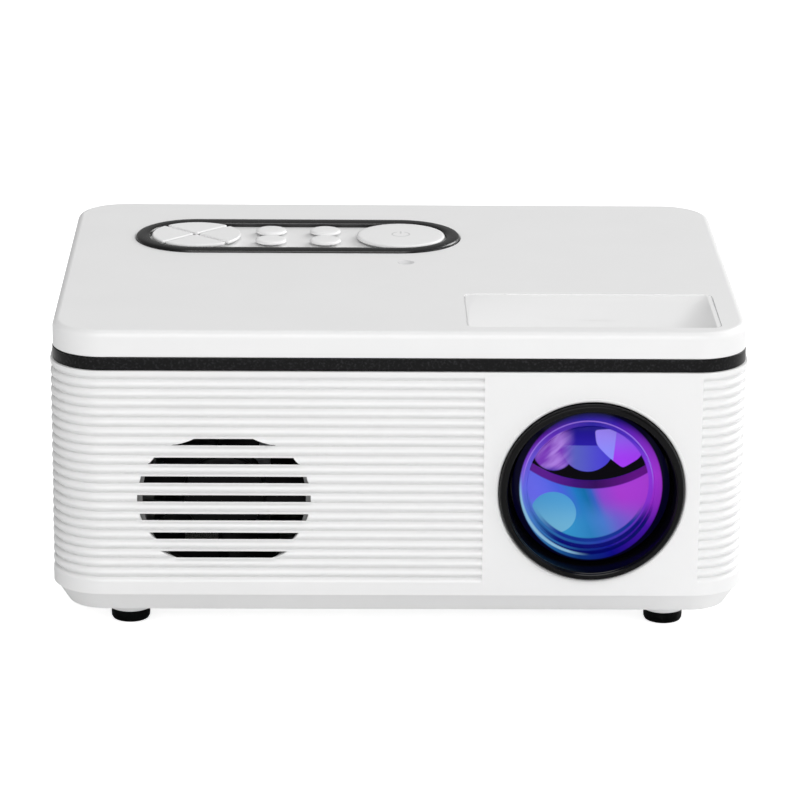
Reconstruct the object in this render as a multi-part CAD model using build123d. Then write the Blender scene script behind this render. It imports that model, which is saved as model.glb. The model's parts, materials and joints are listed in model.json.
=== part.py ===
from build123d import *

import math
import os

# Mini LED projector with a ribbed moulded housing.
# Millimetres. +X is the viewer's right when the lens faces the viewer, +Y points to the back
# and +Z is up. The origin is on the table, midway between the sides, the front and the back.

# Case
WIDTH = 143.0
DEPTH = 105.0
HEIGHT = 65.5
CORNER_R = 11.0
WALL = 2.0
FLOOR_T = 2.0
TOP_SKIN = 2.0
BASE_LIFT = 5.0
BEVEL_H = 4.3
BEVEL_IN = 2.6
BASE_STEP = 0.4
BAND_H = 2.8
BAND_PROUD = 0.15
TOP_COVER_H = 5.4
TOP_EDGE_R = 1.5
BASE_IN = 3.6

# Clearances
FIT = 0.1
GAP = 0.3

# Ribs and round slot grille
RIB_COUNT = 22
RIB_DROP = 1.0
RIB_LOW_EDGE = 3.269
GROOVE_D = 0.6
RIB_BACK_STOP = 14.0
PANEL_HALF = 22.2
GRILLE_IN_X = 35.7
GRILLE_FIRST = 7
GRILLE_SLOTS = 7
SLOT_H = 1.4
GRILLE_EDGE = 1.2
GRILLE_UP_END = 1.496
GRILLE_DOWN_END = 3.396
SIDE_VENTS = 4
SIDE_VENT_L = 38.0

# Lens
LENS_IN_X = 32.1
RING_R = 19.1
RING_PROUD = 1.3
RING_AIR = 0.35
RING_LIP = 1.3
GLASS_R = 15.4
GLASS_RECESS = 4.2
GLASS_DOME = 2.6
GLASS_EDGE = 4.0
CARRIAGE_BORE = 30.9
REAR_GLASS_T = 3.0
CARRIAGE_SIDE = 34.2
CARRIAGE_SHORT = 1.6
SLEEVE_WALL = 3.3
SLEEVE_BEHIND = 11.5
FOCUS_TRAVEL = 4.5

# Light path, which runs along +X and turns to the front at the mirror
BOX_WALL = 1.5
BOX_LIFT = 2.9
BOX_TOP_AIR = 2.1
BOX_BACK_AIR = 1.5
BOX_END_ROOM = 2.6
BOX_PANE_ROOM = 23.4
MIRROR_T = 1.5
MIRROR_END = 1.0
HOLDER_T = 2.0
PANE_GUIDE_W = 1.0
PANE_GUIDE_IN = 1.5
HEAT_GLASS_IN = 3.5
HEAT_GLASS_T = 1.2
REAR_FRESNEL_IN = 8.0
FRONT_FRESNEL_IN = 20.0
FRESNEL_T = 1.5
LCD_IN = 14.0
LCD_T = 2.2
SINK_AIR = 17.5
SINK_PLATE_T = 3.0
SINK_DEPTH = 25.0
FIN_COUNT = 9
FIN_T = 1.2
STAR_SIDE = 22.0
STAR_T = 1.6
EMITTER_SIDE = 10.0
EMITTER_T = 0.8
CONE_SMALL = 27.0
CONE_WALL = 1.5

# Fan behind the grille
FAN_LOW_AIR = 0.558
FAN_T = 10.0
FAN_RIM = 1.1
FAN_BACK_T = 1.5
FAN_HUB_R = 8.5
FAN_HUB_L = 6.6
FAN_FRONT_GAP = 0.8
FAN_TIP_GAP = 0.6
FAN_STRUT_W = 3.0
BLADE_COUNT = 5
BLADE_T = 0.9
BLADE_CHORD = 8.0
BLADE_TILT = 52.0

# Control panel in the top cover
PANEL_IN_X = 50.1
PANEL_IN_Y = 30.25
PANEL_STEP = 44.6
PANEL_R = 13.75
PANEL_RING_W = 3.4
PANEL_SINK = 0.56
PANEL_RING_PROUD = 0.7
PAD_R = 9.75
PAD_SPLIT = 0.8
POWER_R = 9.7
POWER_SHIFT = 0.3
SMALL_R = 3.425
SMALL_STEP_X = 11.9
SMALL_STEP_Y = 7.9
SMALL_SHIFT = 0.05
KEY_PROUD = 1.3
KEY_LIFT = 0.6
KEY_STEM = 2.4
KEY_STEM_AIR = 0.3
KEY_STEM_L = 2.3
KEY_TRAVEL = 0.5
KEY_STOP = 0.2
SWITCH_SIDE = 4.5
SWITCH_H = 3.1
SWITCH_REACH = 6.0
KEYPAD_T = 1.4
KEYPAD_MARGIN_X = 3.5
KEYPAD_MARGIN_Y = 1.0
KEYPAD_FRONT_REACH = 25.25
KEYPAD_POST_IN = 3.5
KEYPAD_POST = 5.0
IR_SHIFT_X = 23.4
IR_SHIFT_Y = 20.65
IR_R = 2.15
IR_SIDE = 5.0
IR_AIR = 0.6

# Tray moulded into the top cover above the lens
TRAY_RIGHT_RIM = 6.0
TRAY_FRONT_RIM = 4.3
TRAY_LENS_REACH = 25.9
TRAY_D = 25.4
TRAY_R = 2.5
TRAY_FAR = 0.7
TRAY_NEAR = 4.0
TRAY_LEFT_RUN = 3.5
TRAY_RIGHT_RUN = 6.0
TRAY_FLOOR_T = 1.6

# Feet, corner columns and tripod insert
FOOT_IN_X = 16.1
FOOT_IN_Y = 12.6
FOOT_R = 4.2
FOOT_BOSS_R = 5.4
FOOT_BOSS_H = 1.6
COLUMN_IN_X = 7.5
COLUMN_IN_Y = 16.5
COLUMN_H = 34.0
COLUMN_BASE_H = 4.0
COLUMN_SIDE = 7.2
TRIPOD_BOX_GAP = 12.0
TRIPOD_BORE_R = 2.55
TRIPOD_R = 5.0
TRIPOD_L = 8.0
TRIPOD_BOSS_WALL = 2.0

# Main board and rear sockets
BOARD_END_GAP = 13.5
BOARD_W = 18.3
BOARD_EDGE_GAP = 0.7
BOARD_Z = 13.0
BOARD_T = 1.6
BOARD_POST_IN_X = 6.0
BOARD_POST_IN_Y = 3.5
BOARD_POST = 5.0
PAD_W = 6.0
SOCKET_SINK = 0.5
SOCKET_GAP = 0.4
HDMI_X = -20.0
HDMI_W = 15.0
HDMI_H = 5.6
HDMI_L = 12.0
HDMI_WALL = 0.5
HDMI_TONGUE_T = 1.0
USB_X = 0.0
USB_W = 13.2
USB_H = 5.9
USB_L = 13.0
USB_WALL = 0.4
USB_TONGUE_T = 1.8
AV_X = 18.0
AV_W = 7.0
AV_H = 7.0
AV_L = 12.5
AV_BORE_R = 1.8
AV_DEPTH = 11.0
CARD_X = 35.0
CARD_W = 14.0
CARD_H = 2.4
CARD_L = 13.0
CARD_SLOT_W = 11.2
CARD_SLOT_H = 1.1
DC_X = -40.0
DC_W = 9.0
DC_H = 10.5
DC_L = 13.0
DC_BORE_R = 2.9
DC_PIN_R = 1.0
DC_DEPTH = 9.5
CHIP_X = -5.0
CHIP_IN_Y = 3.5
CHIP_SIDE = 7.0
CHIP_T = 1.4
COIL_COUNT = 3
COIL_X = 20.0
COIL_IN_Y = 3.7
COIL_STEP = 9.5
COIL_SIDE = 7.0
COIL_H = 4.0

# Speaker on the floor of the base
SPEAKER_SHIFT = 2.2
SPEAKER_FAN_GAP = 4.0
SPEAKER_SINK_GAP = 3.5
SPEAKER_W = 26.0
SPEAKER_H = 6.0
SPEAKER_WALL = 1.5
SPEAKER_CONE_T = 0.8
MAGNET_IN = 3.0
MAGNET_H = 3.0
SOUND_SLOTS = 5
SOUND_STEP = 3.6
SOUND_SLOT_W = 1.4
SOUND_SLOT_IN = 2.5

# Faces and levels of the case
FRONT = -DEPTH / 2
BACK = DEPTH / 2
LEFT = -WIDTH / 2
RIGHT = WIDTH / 2
CREASE_Z = BASE_LIFT + BEVEL_H
FLOOR_Z = BASE_LIFT + FLOOR_T
BAND_TOP_Z = HEIGHT - TOP_COVER_H
BAND_LOW_Z = BAND_TOP_Z - BAND_H
CEILING_Z = HEIGHT - TOP_SKIN
FOOT_X = RIGHT - FOOT_IN_X
FOOT_Y = BACK - FOOT_IN_Y
COLUMN_X = RIGHT - COLUMN_IN_X
COLUMN_Y = BACK - COLUMN_IN_Y
COLUMN_Z = FLOOR_Z + COLUMN_BASE_H

# Ribs, grille and the fan that fits behind it
RIB_PITCH = (BAND_LOW_Z - RIB_DROP - CREASE_Z - RIB_LOW_EDGE) / (RIB_COUNT - 0.5)
GRILLE_X = LEFT + GRILLE_IN_X
GRILLE_Z = BAND_LOW_Z - RIB_DROP - RIB_PITCH * (GRILLE_FIRST + GRILLE_SLOTS - 1)
FAN_SIDE = 2 * (GRILLE_Z - CREASE_Z - FAN_LOW_AIR)
FAN_DUCT_R = FAN_SIDE / 2 - FAN_RIM
FAN_FRONT_Y = FRONT + WALL
FAN_BACK_Y = FAN_FRONT_Y + FAN_T
GRILLE_HALF_W = FAN_DUCT_R - GRILLE_EDGE
GRILLE_UP = RIB_PITCH * (GRILLE_SLOTS - 1) + GRILLE_UP_END
GRILLE_DOWN = RIB_PITCH * (GRILLE_SLOTS - 1) + GRILLE_DOWN_END

# Control panel, keys and keypad
PANEL_X = LEFT + PANEL_IN_X
PANEL_Y = BACK - PANEL_IN_Y
PANEL_FLOOR_Z = HEIGHT - PANEL_SINK
PAD_X = PANEL_X - PANEL_STEP / 2
POWER_X = PANEL_X + PANEL_STEP / 2 + POWER_SHIFT
SMALL_X = PANEL_X + SMALL_SHIFT
IR_X = PANEL_X + IR_SHIFT_X
IR_Y = PANEL_Y - IR_SHIFT_Y
KEY_TOP_Z = PANEL_FLOOR_Z + KEY_PROUD
KEY_HOLE = KEY_STEM + 2 * KEY_STEM_AIR
KEY_STEM_Z = CEILING_Z - KEY_STEM_L
KEYPAD_TOP_Z = KEY_STEM_Z - KEY_TRAVEL - KEY_STOP - SWITCH_H
KEYPAD_X1 = PAD_X - PANEL_R - KEYPAD_MARGIN_X
KEYPAD_X2 = PANEL_X + PANEL_STEP / 2 + PANEL_R + KEYPAD_MARGIN_X
KEYPAD_FRONT_Y = PANEL_Y - KEYPAD_FRONT_REACH
KEYPAD_Y2 = PANEL_Y + PANEL_R + KEYPAD_MARGIN_Y

# Main board
BOARD_HALF_X = RIGHT - BOARD_END_GAP
BOARD_Y2 = BACK - WALL - BOARD_EDGE_GAP
BOARD_Y1 = BOARD_Y2 - BOARD_W
BOARD_TOP_Z = BOARD_Z + BOARD_T
BOARD_POST_X = BOARD_HALF_X - BOARD_POST_IN_X
BOARD_POST_Y1 = BOARD_Y1 + BOARD_POST_IN_Y
BOARD_POST_Y2 = BOARD_Y2 - BOARD_POST_IN_Y
CHIP_Y = BOARD_Y1 + CHIP_IN_Y
COIL_Y = BOARD_Y1 + COIL_IN_Y
SOCKET_FACE_Y = BACK - SOCKET_SINK
SOCKETS = [(HDMI_X, HDMI_W, HDMI_H), (USB_X, USB_W, USB_H), (AV_X, AV_W, AV_H),
           (CARD_X, CARD_W, CARD_H), (DC_X, DC_W, DC_H)]

# Light box between the base, the keypad and the main board, with the lens on its middle level
BOX_LOW = FLOOR_Z + BOX_LIFT
BOX_TOP = KEYPAD_TOP_Z - KEYPAD_T - BOX_TOP_AIR
BOX_SIDE = BOX_TOP - BOX_LOW
BOX_INNER = BOX_SIDE - 2 * BOX_WALL
BOX_BACK = BOARD_Y1 - BOX_BACK_AIR
BOX_FRONT = BOX_BACK - BOX_SIDE
BOX_MID_Y = BOX_FRONT + BOX_SIDE / 2
LENS_X = RIGHT - LENS_IN_X
LENS_Z = BOX_LOW + BOX_SIDE / 2
BOX_RIGHT = LENS_X + BOX_SIDE / 2 + BOX_END_ROOM
BOX_LEFT = LENS_X - BOX_SIDE / 2 - BOX_PANE_ROOM
HEAT_GLASS_X = BOX_LEFT + HEAT_GLASS_IN
REAR_FRESNEL_X = BOX_LEFT + REAR_FRESNEL_IN
LCD_X = BOX_LEFT + LCD_IN
FRONT_FRESNEL_X = BOX_LEFT + FRONT_FRESNEL_IN
PANE_SIDE = BOX_INNER - 2 * GAP
HOLDER_HALF = math.sqrt(2) * (BOX_INNER / 2 - GAP) - MIRROR_T - HOLDER_T
SINK_FACE_X = LEFT + WALL + SINK_AIR + SINK_DEPTH

# Lens and its sleeve
RING_FRONT_Y = FRONT - RING_PROUD
GLASS_Y = FRONT + GLASS_RECESS
CARRIAGE_Y = FRONT + WALL + FOCUS_TRAVEL + GAP
SLEEVE_Y = FRONT + SLEEVE_BEHIND
SLEEVE_L = BOX_FRONT - SLEEVE_Y
CARRIAGE_L = SLEEVE_L - CARRIAGE_SHORT

# Tray, tripod insert and speaker
TRAY_X1 = LENS_X - TRAY_LENS_REACH
TRAY_X2 = RIGHT - TRAY_RIGHT_RIM
TRAY_Y1 = FRONT + TRAY_FRONT_RIM
TRAY_Y2 = TRAY_Y1 + TRAY_D
TRIPOD_Y = BOX_FRONT - TRIPOD_BOX_GAP
SPEAKER_X = GRILLE_X - SPEAKER_SHIFT
SPEAKER_Y1 = FAN_BACK_Y + SPEAKER_FAN_GAP
SPEAKER_D = BOX_FRONT - SPEAKER_SINK_GAP - SPEAKER_Y1
SPEAKER_Y = SPEAKER_Y1 + SPEAKER_D / 2
MAGNET_SIDE = SPEAKER_D - 2 * MAGNET_IN
SOUND_SLOT_L = SPEAKER_D - 2 * SOUND_SLOT_IN


def outline(inset=0.0):
    """Plan outline of the case, moved in by inset."""
    return RectangleRounded(WIDTH - 2 * inset, DEPTH - 2 * inset, CORNER_R - inset)


def hollow(inset, z_low, z_high):
    """Inner space of the case, inset from its outline and cut at 45 degrees in the corners."""
    x = WIDTH / 2 - inset
    y = DEPTH / 2 - inset
    cut = (2 - math.sqrt(2)) * (CORNER_R - inset)
    half = [(x, cut - y), (x, y - cut), (x - cut, y), (cut - x, y), (-x, y - cut)]
    return prism(polygon(half + [(-x, cut - y), (cut - x, -y), (x - cut, -y)]), z_low, z_high)


def tapered(inset_low, z_low, inset_high, z_high):
    """Solid slab whose outline changes evenly from one inset to another."""
    angle = math.degrees(math.atan2(inset_high - inset_low, z_high - z_low))
    return extrude(Pos(0, 0, z_low) * outline(inset_low), z_high - z_low, taper=angle)


def prism(sketch, z_low, z_high):
    """Upright solid of a plan sketch between two levels."""
    return extrude(Pos(0, 0, z_low) * sketch, z_high - z_low)


def block(x_low, x_high, y_low, y_high, z_low, z_high):
    """Box between two corners."""
    middle = Pos((x_low + x_high) / 2, (y_low + y_high) / 2, (z_low + z_high) / 2)
    return middle * Box(x_high - x_low, y_high - y_low, z_high - z_low)


def pillar(x, y, side, z_low, z_high):
    """Upright square bar."""
    return block(x - side / 2, x + side / 2, y - side / 2, y + side / 2, z_low, z_high)


def post(x, y, radius, z_low, z_high):
    """Upright cylinder."""
    return Pos(x, y, (z_low + z_high) / 2) * Cylinder(radius, z_high - z_low)


def rod_y(x, z, radius, y_low, y_high):
    """Cylinder along Y."""
    return Pos(x, (y_low + y_high) / 2, z) * Rot(90, 0, 0) * Cylinder(radius, y_high - y_low)


def turned_y(profile, x, z):
    """Solid turned about the line along Y through (x, z); the profile holds (radius, y)."""
    plane = Plane(origin=(x, 0, z), x_dir=(1, 0, 0), z_dir=(0, 0, 1))
    return revolve(plane * profile, Axis((x, 0, z), (0, 1, 0)))


def polygon(points):
    """Flat face with straight sides."""
    return make_face(Polyline(*points, close=True))


def corners(x, y):
    """The four places at (+-x, +-y)."""
    return [(side * x, end * y) for side in (-1, 1) for end in (-1, 1)]


def board_posts():
    """Places of the four posts of the main board."""
    return [(x, y) for x in (-BOARD_POST_X, BOARD_POST_X) for y in (BOARD_POST_Y1, BOARD_POST_Y2)]


def keypad_posts():
    """Places of the four posts of the keypad board."""
    xs = (KEYPAD_X1 + KEYPAD_POST_IN, KEYPAD_X2 - KEYPAD_POST_IN)
    ys = (KEYPAD_FRONT_Y + KEYPAD_POST_IN, KEYPAD_Y2 - KEYPAD_POST_IN)
    return [(x, y) for x in xs for y in ys]


def rib_z(index):
    """Height of a groove, counted from the top."""
    return BAND_LOW_Z - RIB_DROP - RIB_PITCH * index


def grille_half_width(z):
    """Half width of the round grille at a height."""
    reach = GRILLE_UP if z > GRILLE_Z else GRILLE_DOWN
    return GRILLE_HALF_W * math.sqrt(max(0.0, 1 - ((z - GRILLE_Z) / reach) ** 2))


def grille_slot(index):
    """One slot of the round grille, cut through the front wall in place of a groove."""
    z = rib_z(GRILLE_FIRST + 2 * index)
    half = SLOT_H / 2
    low = grille_half_width(z - half)
    high = grille_half_width(z + half)
    plane = Plane(origin=(GRILLE_X, FRONT + 2 * WALL, z), x_dir=(1, 0, 0), z_dir=(0, -1, 0))
    return extrude(plane * polygon([(-low, -half), (low, -half), (high, half), (-high, half)]), 3 * WALL)


def side_vent(index):
    """One intake slot in the left side, level with a grille slot."""
    z = rib_z(GRILLE_FIRST + 4 * index)
    y_low = BOX_MID_Y - SIDE_VENT_L / 2
    return block(-WIDTH / 2 - WALL, -WIDTH / 2 + 2 * WALL, y_low, y_low + SIDE_VENT_L,
                 z - SLOT_H / 2, z + SLOT_H / 2)


def socket_window(x, width, height):
    """Opening in the back wall round a socket that stands on the main board."""
    half = width / 2 + SOCKET_GAP
    return block(x - half, x + half, BACK - 2 * WALL, BACK + WALL,
                 BOARD_TOP_Z - SOCKET_GAP, BOARD_TOP_Z + height + SOCKET_GAP)


def rib_profile():
    """Section of the ribbed wall as (depth behind the outer face, height)."""
    rim = [(CORNER_R - 1, CREASE_Z), (0, CREASE_Z)]
    for i in reversed(range(RIB_COUNT)):
        rim += [(0, rib_z(i) - RIB_PITCH / 2), (GROOVE_D, rib_z(i))]
    return polygon(rim + [(0, BAND_LOW_Z), (CORNER_R - 1, BAND_LOW_Z)])


def ribbed_sides():
    """Front, front corners and sides with the ribs running round them."""
    section = rib_profile()
    run = WIDTH / 2 - CORNER_R
    axis_y = FRONT + CORNER_R
    side_l = DEPTH - CORNER_R - RIB_BACK_STOP
    front = Plane(origin=(-run, FRONT, 0), x_dir=(0, 1, 0), z_dir=(1, 0, 0))
    body = extrude(front * section, 2 * run)
    for side in (-1, 1):
        face = Plane(origin=(side * WIDTH / 2, axis_y, 0), x_dir=(-side, 0, 0), z_dir=(0, side, 0)) * section
        body += extrude(face, side * side_l)
        body += revolve(face, Axis((side * run, axis_y, 0), (0, 0, 1)), -side * 90)
    return body


def lower_housing():
    """Ribbed side walls with the grille, lens hole, intake slots, socket windows and columns."""
    panel = block(LENS_X - PANEL_HALF, LENS_X + PANEL_HALF, FRONT - WALL, 0, BASE_LIFT, HEIGHT)
    back = block(-WIDTH, WIDTH, BACK - RIB_BACK_STOP, BACK + WALL, BASE_LIFT, HEIGHT)
    plain = prism(outline(), CREASE_Z, BAND_LOW_Z)
    shell = ribbed_sides() - panel - back + (plain & panel) + (plain & back)
    shell -= hollow(WALL, BASE_LIFT, HEIGHT)
    half = COLUMN_SIDE / 2
    for x, y in corners(COLUMN_X, COLUMN_Y):
        inner, outer = sorted((x - math.copysign(half, x), math.copysign(WIDTH / 2 - WALL / 2, x)))
        shell += block(inner, outer, y - half, y + half, COLUMN_Z, COLUMN_Z + COLUMN_H)
    cutters = [grille_slot(i) for i in range(GRILLE_SLOTS)]
    cutters += [side_vent(i) for i in range(SIDE_VENTS)]
    cutters.append(rod_y(LENS_X, LENS_Z, RING_R + RING_AIR, FRONT - WALL, FRONT + 2 * WALL))
    cutters += [socket_window(x, width, height) for x, width, height in SOCKETS]
    return shell - cutters


def base_cover():
    """Bevelled tray under the case, with its foot bosses, posts, pads and tripod boss."""
    body = tapered(BASE_STEP + BEVEL_IN, BASE_LIFT, BASE_STEP, CREASE_Z)
    body -= hollow(BASE_IN, FLOOR_Z, HEIGHT)
    for x, y in corners(FOOT_X, FOOT_Y):
        body += post(x, y, FOOT_BOSS_R, BASE_LIFT - FOOT_BOSS_H, BASE_LIFT)
    for x, y in corners(COLUMN_X, COLUMN_Y):
        body += pillar(x, y, COLUMN_SIDE, BASE_LIFT, COLUMN_Z)
    for x, y in board_posts():
        body += pillar(x, y, BOARD_POST, BASE_LIFT, BOARD_Z)
    for x in (BOX_LEFT, BOX_RIGHT - PAD_W, SINK_FACE_X - SINK_DEPTH):
        for y in (BOX_FRONT, BOX_BACK - PAD_W):
            body += block(x, x + PAD_W, y, y + PAD_W, BASE_LIFT, BOX_LOW)
    body += pillar(0, TRIPOD_Y, 2 * (TRIPOD_R + TRIPOD_BOSS_WALL), BASE_LIFT, BASE_LIFT + TRIPOD_L)
    cutters = [prism(Pos(0, TRIPOD_Y) * RegularPolygon(TRIPOD_R + FIT / 2, 6), 0, HEIGHT)]
    for i in range(SOUND_SLOTS):
        x = SPEAKER_X + (i - (SOUND_SLOTS - 1) / 2) * SOUND_STEP
        cutters.append(block(x - SOUND_SLOT_W / 2, x + SOUND_SLOT_W / 2, SPEAKER_Y - SOUND_SLOT_L / 2,
                             SPEAKER_Y + SOUND_SLOT_L / 2, 0, HEIGHT))
    return body - cutters


def trim_band():
    """Black strip between the two halves of the case."""
    return prism(outline(-BAND_PROUD), BAND_LOW_Z, BAND_TOP_Z) - hollow(WALL, BAND_LOW_Z, BAND_TOP_Z)


def tray_form(grow):
    """Shallow tray above the lens: its floor slopes down to the front and its ends slope in."""
    x_low = TRAY_X1 - grow
    x_high = TRAY_X2 + grow
    y_low = TRAY_Y1 - grow
    y_high = TRAY_Y2 + grow
    deep = HEIGHT - TRAY_NEAR - grow
    middle = Pos((x_low + x_high) / 2, (y_low + y_high) / 2)
    mouth = middle * RectangleRounded(x_high - x_low, y_high - y_low, TRAY_R + grow)
    ends = [(x_low, HEIGHT), (x_low + TRAY_LEFT_RUN, deep), (x_high - TRAY_RIGHT_RUN, deep),
            (x_high, HEIGHT)]
    slope = [(y_low, HEIGHT), (y_low, deep), (y_high, HEIGHT - TRAY_FAR - grow), (y_high, HEIGHT)]
    across = Plane(origin=(0, 0, 0), x_dir=(1, 0, 0), z_dir=(0, -1, 0)) * polygon(ends)
    along = Plane(origin=(0, 0, 0), x_dir=(0, 1, 0), z_dir=(1, 0, 0)) * polygon(slope)
    return prism(mouth, deep, HEIGHT) & extrude(across, WIDTH) & extrude(along, WIDTH)


def top_cover():
    """Top half of the case with the tray, the sunk control panel, key holes and posts."""
    step = TOP_EDGE_R * (1 - math.sqrt(0.5))
    body = prism(outline(), BAND_TOP_Z, HEIGHT - TOP_EDGE_R)
    body += tapered(0, HEIGHT - TOP_EDGE_R, step, HEIGHT - step)
    body += tapered(step, HEIGHT - step, TOP_EDGE_R, HEIGHT)
    body -= hollow(WALL, BASE_LIFT, CEILING_Z)
    body += tray_form(TRAY_FLOOR_T)
    for x, y in keypad_posts():
        body += pillar(x, y, KEYPAD_POST, KEYPAD_TOP_Z, CEILING_Z)
    above = HEIGHT + WALL
    sunk = Pos(PANEL_X, PANEL_Y) * SlotCenterToCenter(PANEL_STEP, 2 * (PANEL_R + FIT))
    cutters = [tray_form(0), prism(sunk, PANEL_FLOOR_Z, above)]
    cutters += [pillar(x, y, KEY_HOLE, BAND_TOP_Z, above) for x, y in switch_places()]
    cutters.append(post(IR_X, IR_Y, IR_R + FIT / 2, BAND_TOP_Z, above))
    return body - cutters


def control_ring():
    """Black oblong ring laid in the sunk control panel."""
    outer = SlotCenterToCenter(PANEL_STEP, 2 * PANEL_R)
    inner = SlotCenterToCenter(PANEL_STEP, 2 * (PANEL_R - PANEL_RING_W))
    return prism(Pos(PANEL_X, PANEL_Y) * (outer - inner), PANEL_FLOOR_Z, HEIGHT + PANEL_RING_PROUD)


def small_key_places():
    """Places of the four small round keys, two by two."""
    middle = corners(SMALL_STEP_X / 2, SMALL_STEP_Y / 2)
    return [(SMALL_X + dx, PANEL_Y + dy) for dx, dy in middle]


def key_solid(cap, stem_x, stem_y):
    """Key: a cap above the panel on a square stem that reaches its switch."""
    body = prism(cap, PANEL_FLOOR_Z + KEY_LIFT, KEY_TOP_Z)
    return body + pillar(stem_x, stem_y, KEY_STEM, KEY_STEM_Z, PANEL_FLOOR_Z + KEY_LIFT)


def sector(angle):
    """Quarter of the direction pad's disc, parted from its neighbours by the split."""
    tip = PAD_SPLIT / 2 * math.sqrt(2)
    far = tip + 2 * PAD_R
    quarter = Rot(0, 0, angle) * polygon([(tip, 0), (far, 2 * PAD_R), (far, -2 * PAD_R)]) & Circle(PAD_R)
    return Pos(PAD_X, PANEL_Y) * quarter


def direction_key(angle):
    """One quarter of the direction pad."""
    turn = math.radians(angle)
    stem_x = PAD_X + SWITCH_REACH * math.cos(turn)
    stem_y = PANEL_Y + SWITCH_REACH * math.sin(turn)
    return key_solid(sector(angle), stem_x, stem_y)


def round_key(x, y, radius):
    """Round key."""
    return key_solid(Pos(x, y) * Circle(radius), x, y)


def switch_places():
    """Places of the nine switches, one under each key."""
    pad = [(PAD_X + dx, PANEL_Y + dy) for dx, dy in
           ((SWITCH_REACH, 0), (0, SWITCH_REACH), (-SWITCH_REACH, 0), (0, -SWITCH_REACH))]
    return pad + small_key_places() + [(POWER_X, PANEL_Y)]


def tact_switches():
    """Square switches on the keypad board."""
    return Compound([pillar(x, y, SWITCH_SIDE, KEYPAD_TOP_Z, KEYPAD_TOP_Z + SWITCH_H)
                     for x, y in switch_places()])


def keypad_board():
    """Circuit board hung under the top cover."""
    return block(KEYPAD_X1, KEYPAD_X2, KEYPAD_FRONT_Y, KEYPAD_Y2, KEYPAD_TOP_Z - KEYPAD_T, KEYPAD_TOP_Z)


def ir_window():
    """Round window for the remote control's signal, flush with the top."""
    return post(IR_X, IR_Y, IR_R, CEILING_Z, HEIGHT)


def ir_receiver():
    """Receiver on the keypad board under its window."""
    return pillar(IR_X, IR_Y, IR_SIDE, KEYPAD_TOP_Z, CEILING_Z - IR_AIR)


def rubber_feet():
    """Four rubber feet."""
    return Compound([post(x, y, FOOT_R, 0, BASE_LIFT - FOOT_BOSS_H) for x, y in corners(FOOT_X, FOOT_Y)])


def tripod_nut():
    """Six-sided threaded insert in the underside."""
    nut = Pos(0, TRIPOD_Y) * (RegularPolygon(TRIPOD_R, 6) - Circle(TRIPOD_BORE_R))
    return prism(nut, BASE_LIFT, BASE_LIFT + TRIPOD_L)


def focus_ring():
    """Black ring round the lens: narrow front lip and an inner cone down to the glass."""
    lip_r = RING_R - RING_LIP
    points = [(RING_R, CARRIAGE_Y), (RING_R, RING_FRONT_Y), (lip_r, RING_FRONT_Y),
              (GLASS_R + GAP, CARRIAGE_Y)]
    return turned_y(polygon(points), LENS_X, LENS_Z)


def square_bar_y(side, y_low, y_high):
    """Square bar on the lens axis."""
    return block(LENS_X - side / 2, LENS_X + side / 2, y_low, y_high, LENS_Z - side / 2, LENS_Z + side / 2)


def lens_carriage():
    """Square tube that slides in the sleeve and carries both lenses."""
    end = CARRIAGE_Y + CARRIAGE_L
    hollow_bar = square_bar_y(CARRIAGE_BORE, CARRIAGE_Y - 1, end + 1)
    return square_bar_y(CARRIAGE_SIDE, CARRIAGE_Y, end) - hollow_bar


def front_lens():
    """Large round front lens, domed towards the screen, flat behind."""
    ball_r = (GLASS_R ** 2 + GLASS_DOME ** 2) / (2 * GLASS_DOME)
    ball = Pos(LENS_X, GLASS_Y - GLASS_DOME + ball_r, LENS_Z) * Sphere(ball_r)
    return rod_y(LENS_X, LENS_Z, GLASS_R, FRONT - RING_R, GLASS_Y + GLASS_EDGE) & ball


def rear_lens():
    """Square field lens in the inner end of the carriage."""
    end = CARRIAGE_Y + CARRIAGE_L
    return square_bar_y(CARRIAGE_BORE - FIT, end - REAR_GLASS_T, end)


def light_box():
    """Black box of the light path with the square sleeve that guides the lens carriage."""
    box = block(BOX_LEFT, BOX_RIGHT, BOX_FRONT, BOX_BACK, BOX_LOW, BOX_TOP - BOX_WALL)
    box -= block(BOX_LEFT - 1, BOX_RIGHT - BOX_WALL, BOX_FRONT + BOX_WALL, BOX_BACK - BOX_WALL,
                 BOX_LOW + BOX_WALL, BOX_TOP)
    starts = [HEAT_GLASS_X - HEAT_GLASS_T / 2 - PANE_GUIDE_W, HEAT_GLASS_X + HEAT_GLASS_T / 2,
              REAR_FRESNEL_X + FRESNEL_T / 2, LCD_X + LCD_T / 2, FRONT_FRESNEL_X + FRESNEL_T / 2]
    ends = [HEAT_GLASS_X - HEAT_GLASS_T / 2, REAR_FRESNEL_X - FRESNEL_T / 2, LCD_X - LCD_T / 2,
            FRONT_FRESNEL_X - FRESNEL_T / 2, FRONT_FRESNEL_X + FRESNEL_T / 2 + PANE_GUIDE_W]
    for start, end in zip(starts, ends):
        for y in (BOX_FRONT + BOX_WALL, BOX_BACK - BOX_WALL - PANE_GUIDE_IN):
            box += block(start + GAP, end - GAP, y, y + PANE_GUIDE_IN, BOX_LOW, BOX_TOP - BOX_WALL)
    opening = CARRIAGE_SIDE + 2 * FIT
    box += square_bar_y(opening + 2 * SLEEVE_WALL, SLEEVE_Y, BOX_FRONT)
    return box - square_bar_y(opening, SLEEVE_Y - 1, BOX_FRONT + BOX_WALL + 1)


def light_box_lid():
    """Flat lid of the light box."""
    return block(BOX_LEFT, BOX_RIGHT, BOX_FRONT, BOX_BACK, BOX_TOP - BOX_WALL, BOX_TOP)


def pane(x, thick):
    """Square pane across the light path."""
    half = PANE_SIDE / 2
    return block(x - thick / 2, x + thick / 2, BOX_MID_Y - half, BOX_MID_Y + half,
                 LENS_Z - half, LENS_Z + half)


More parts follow.
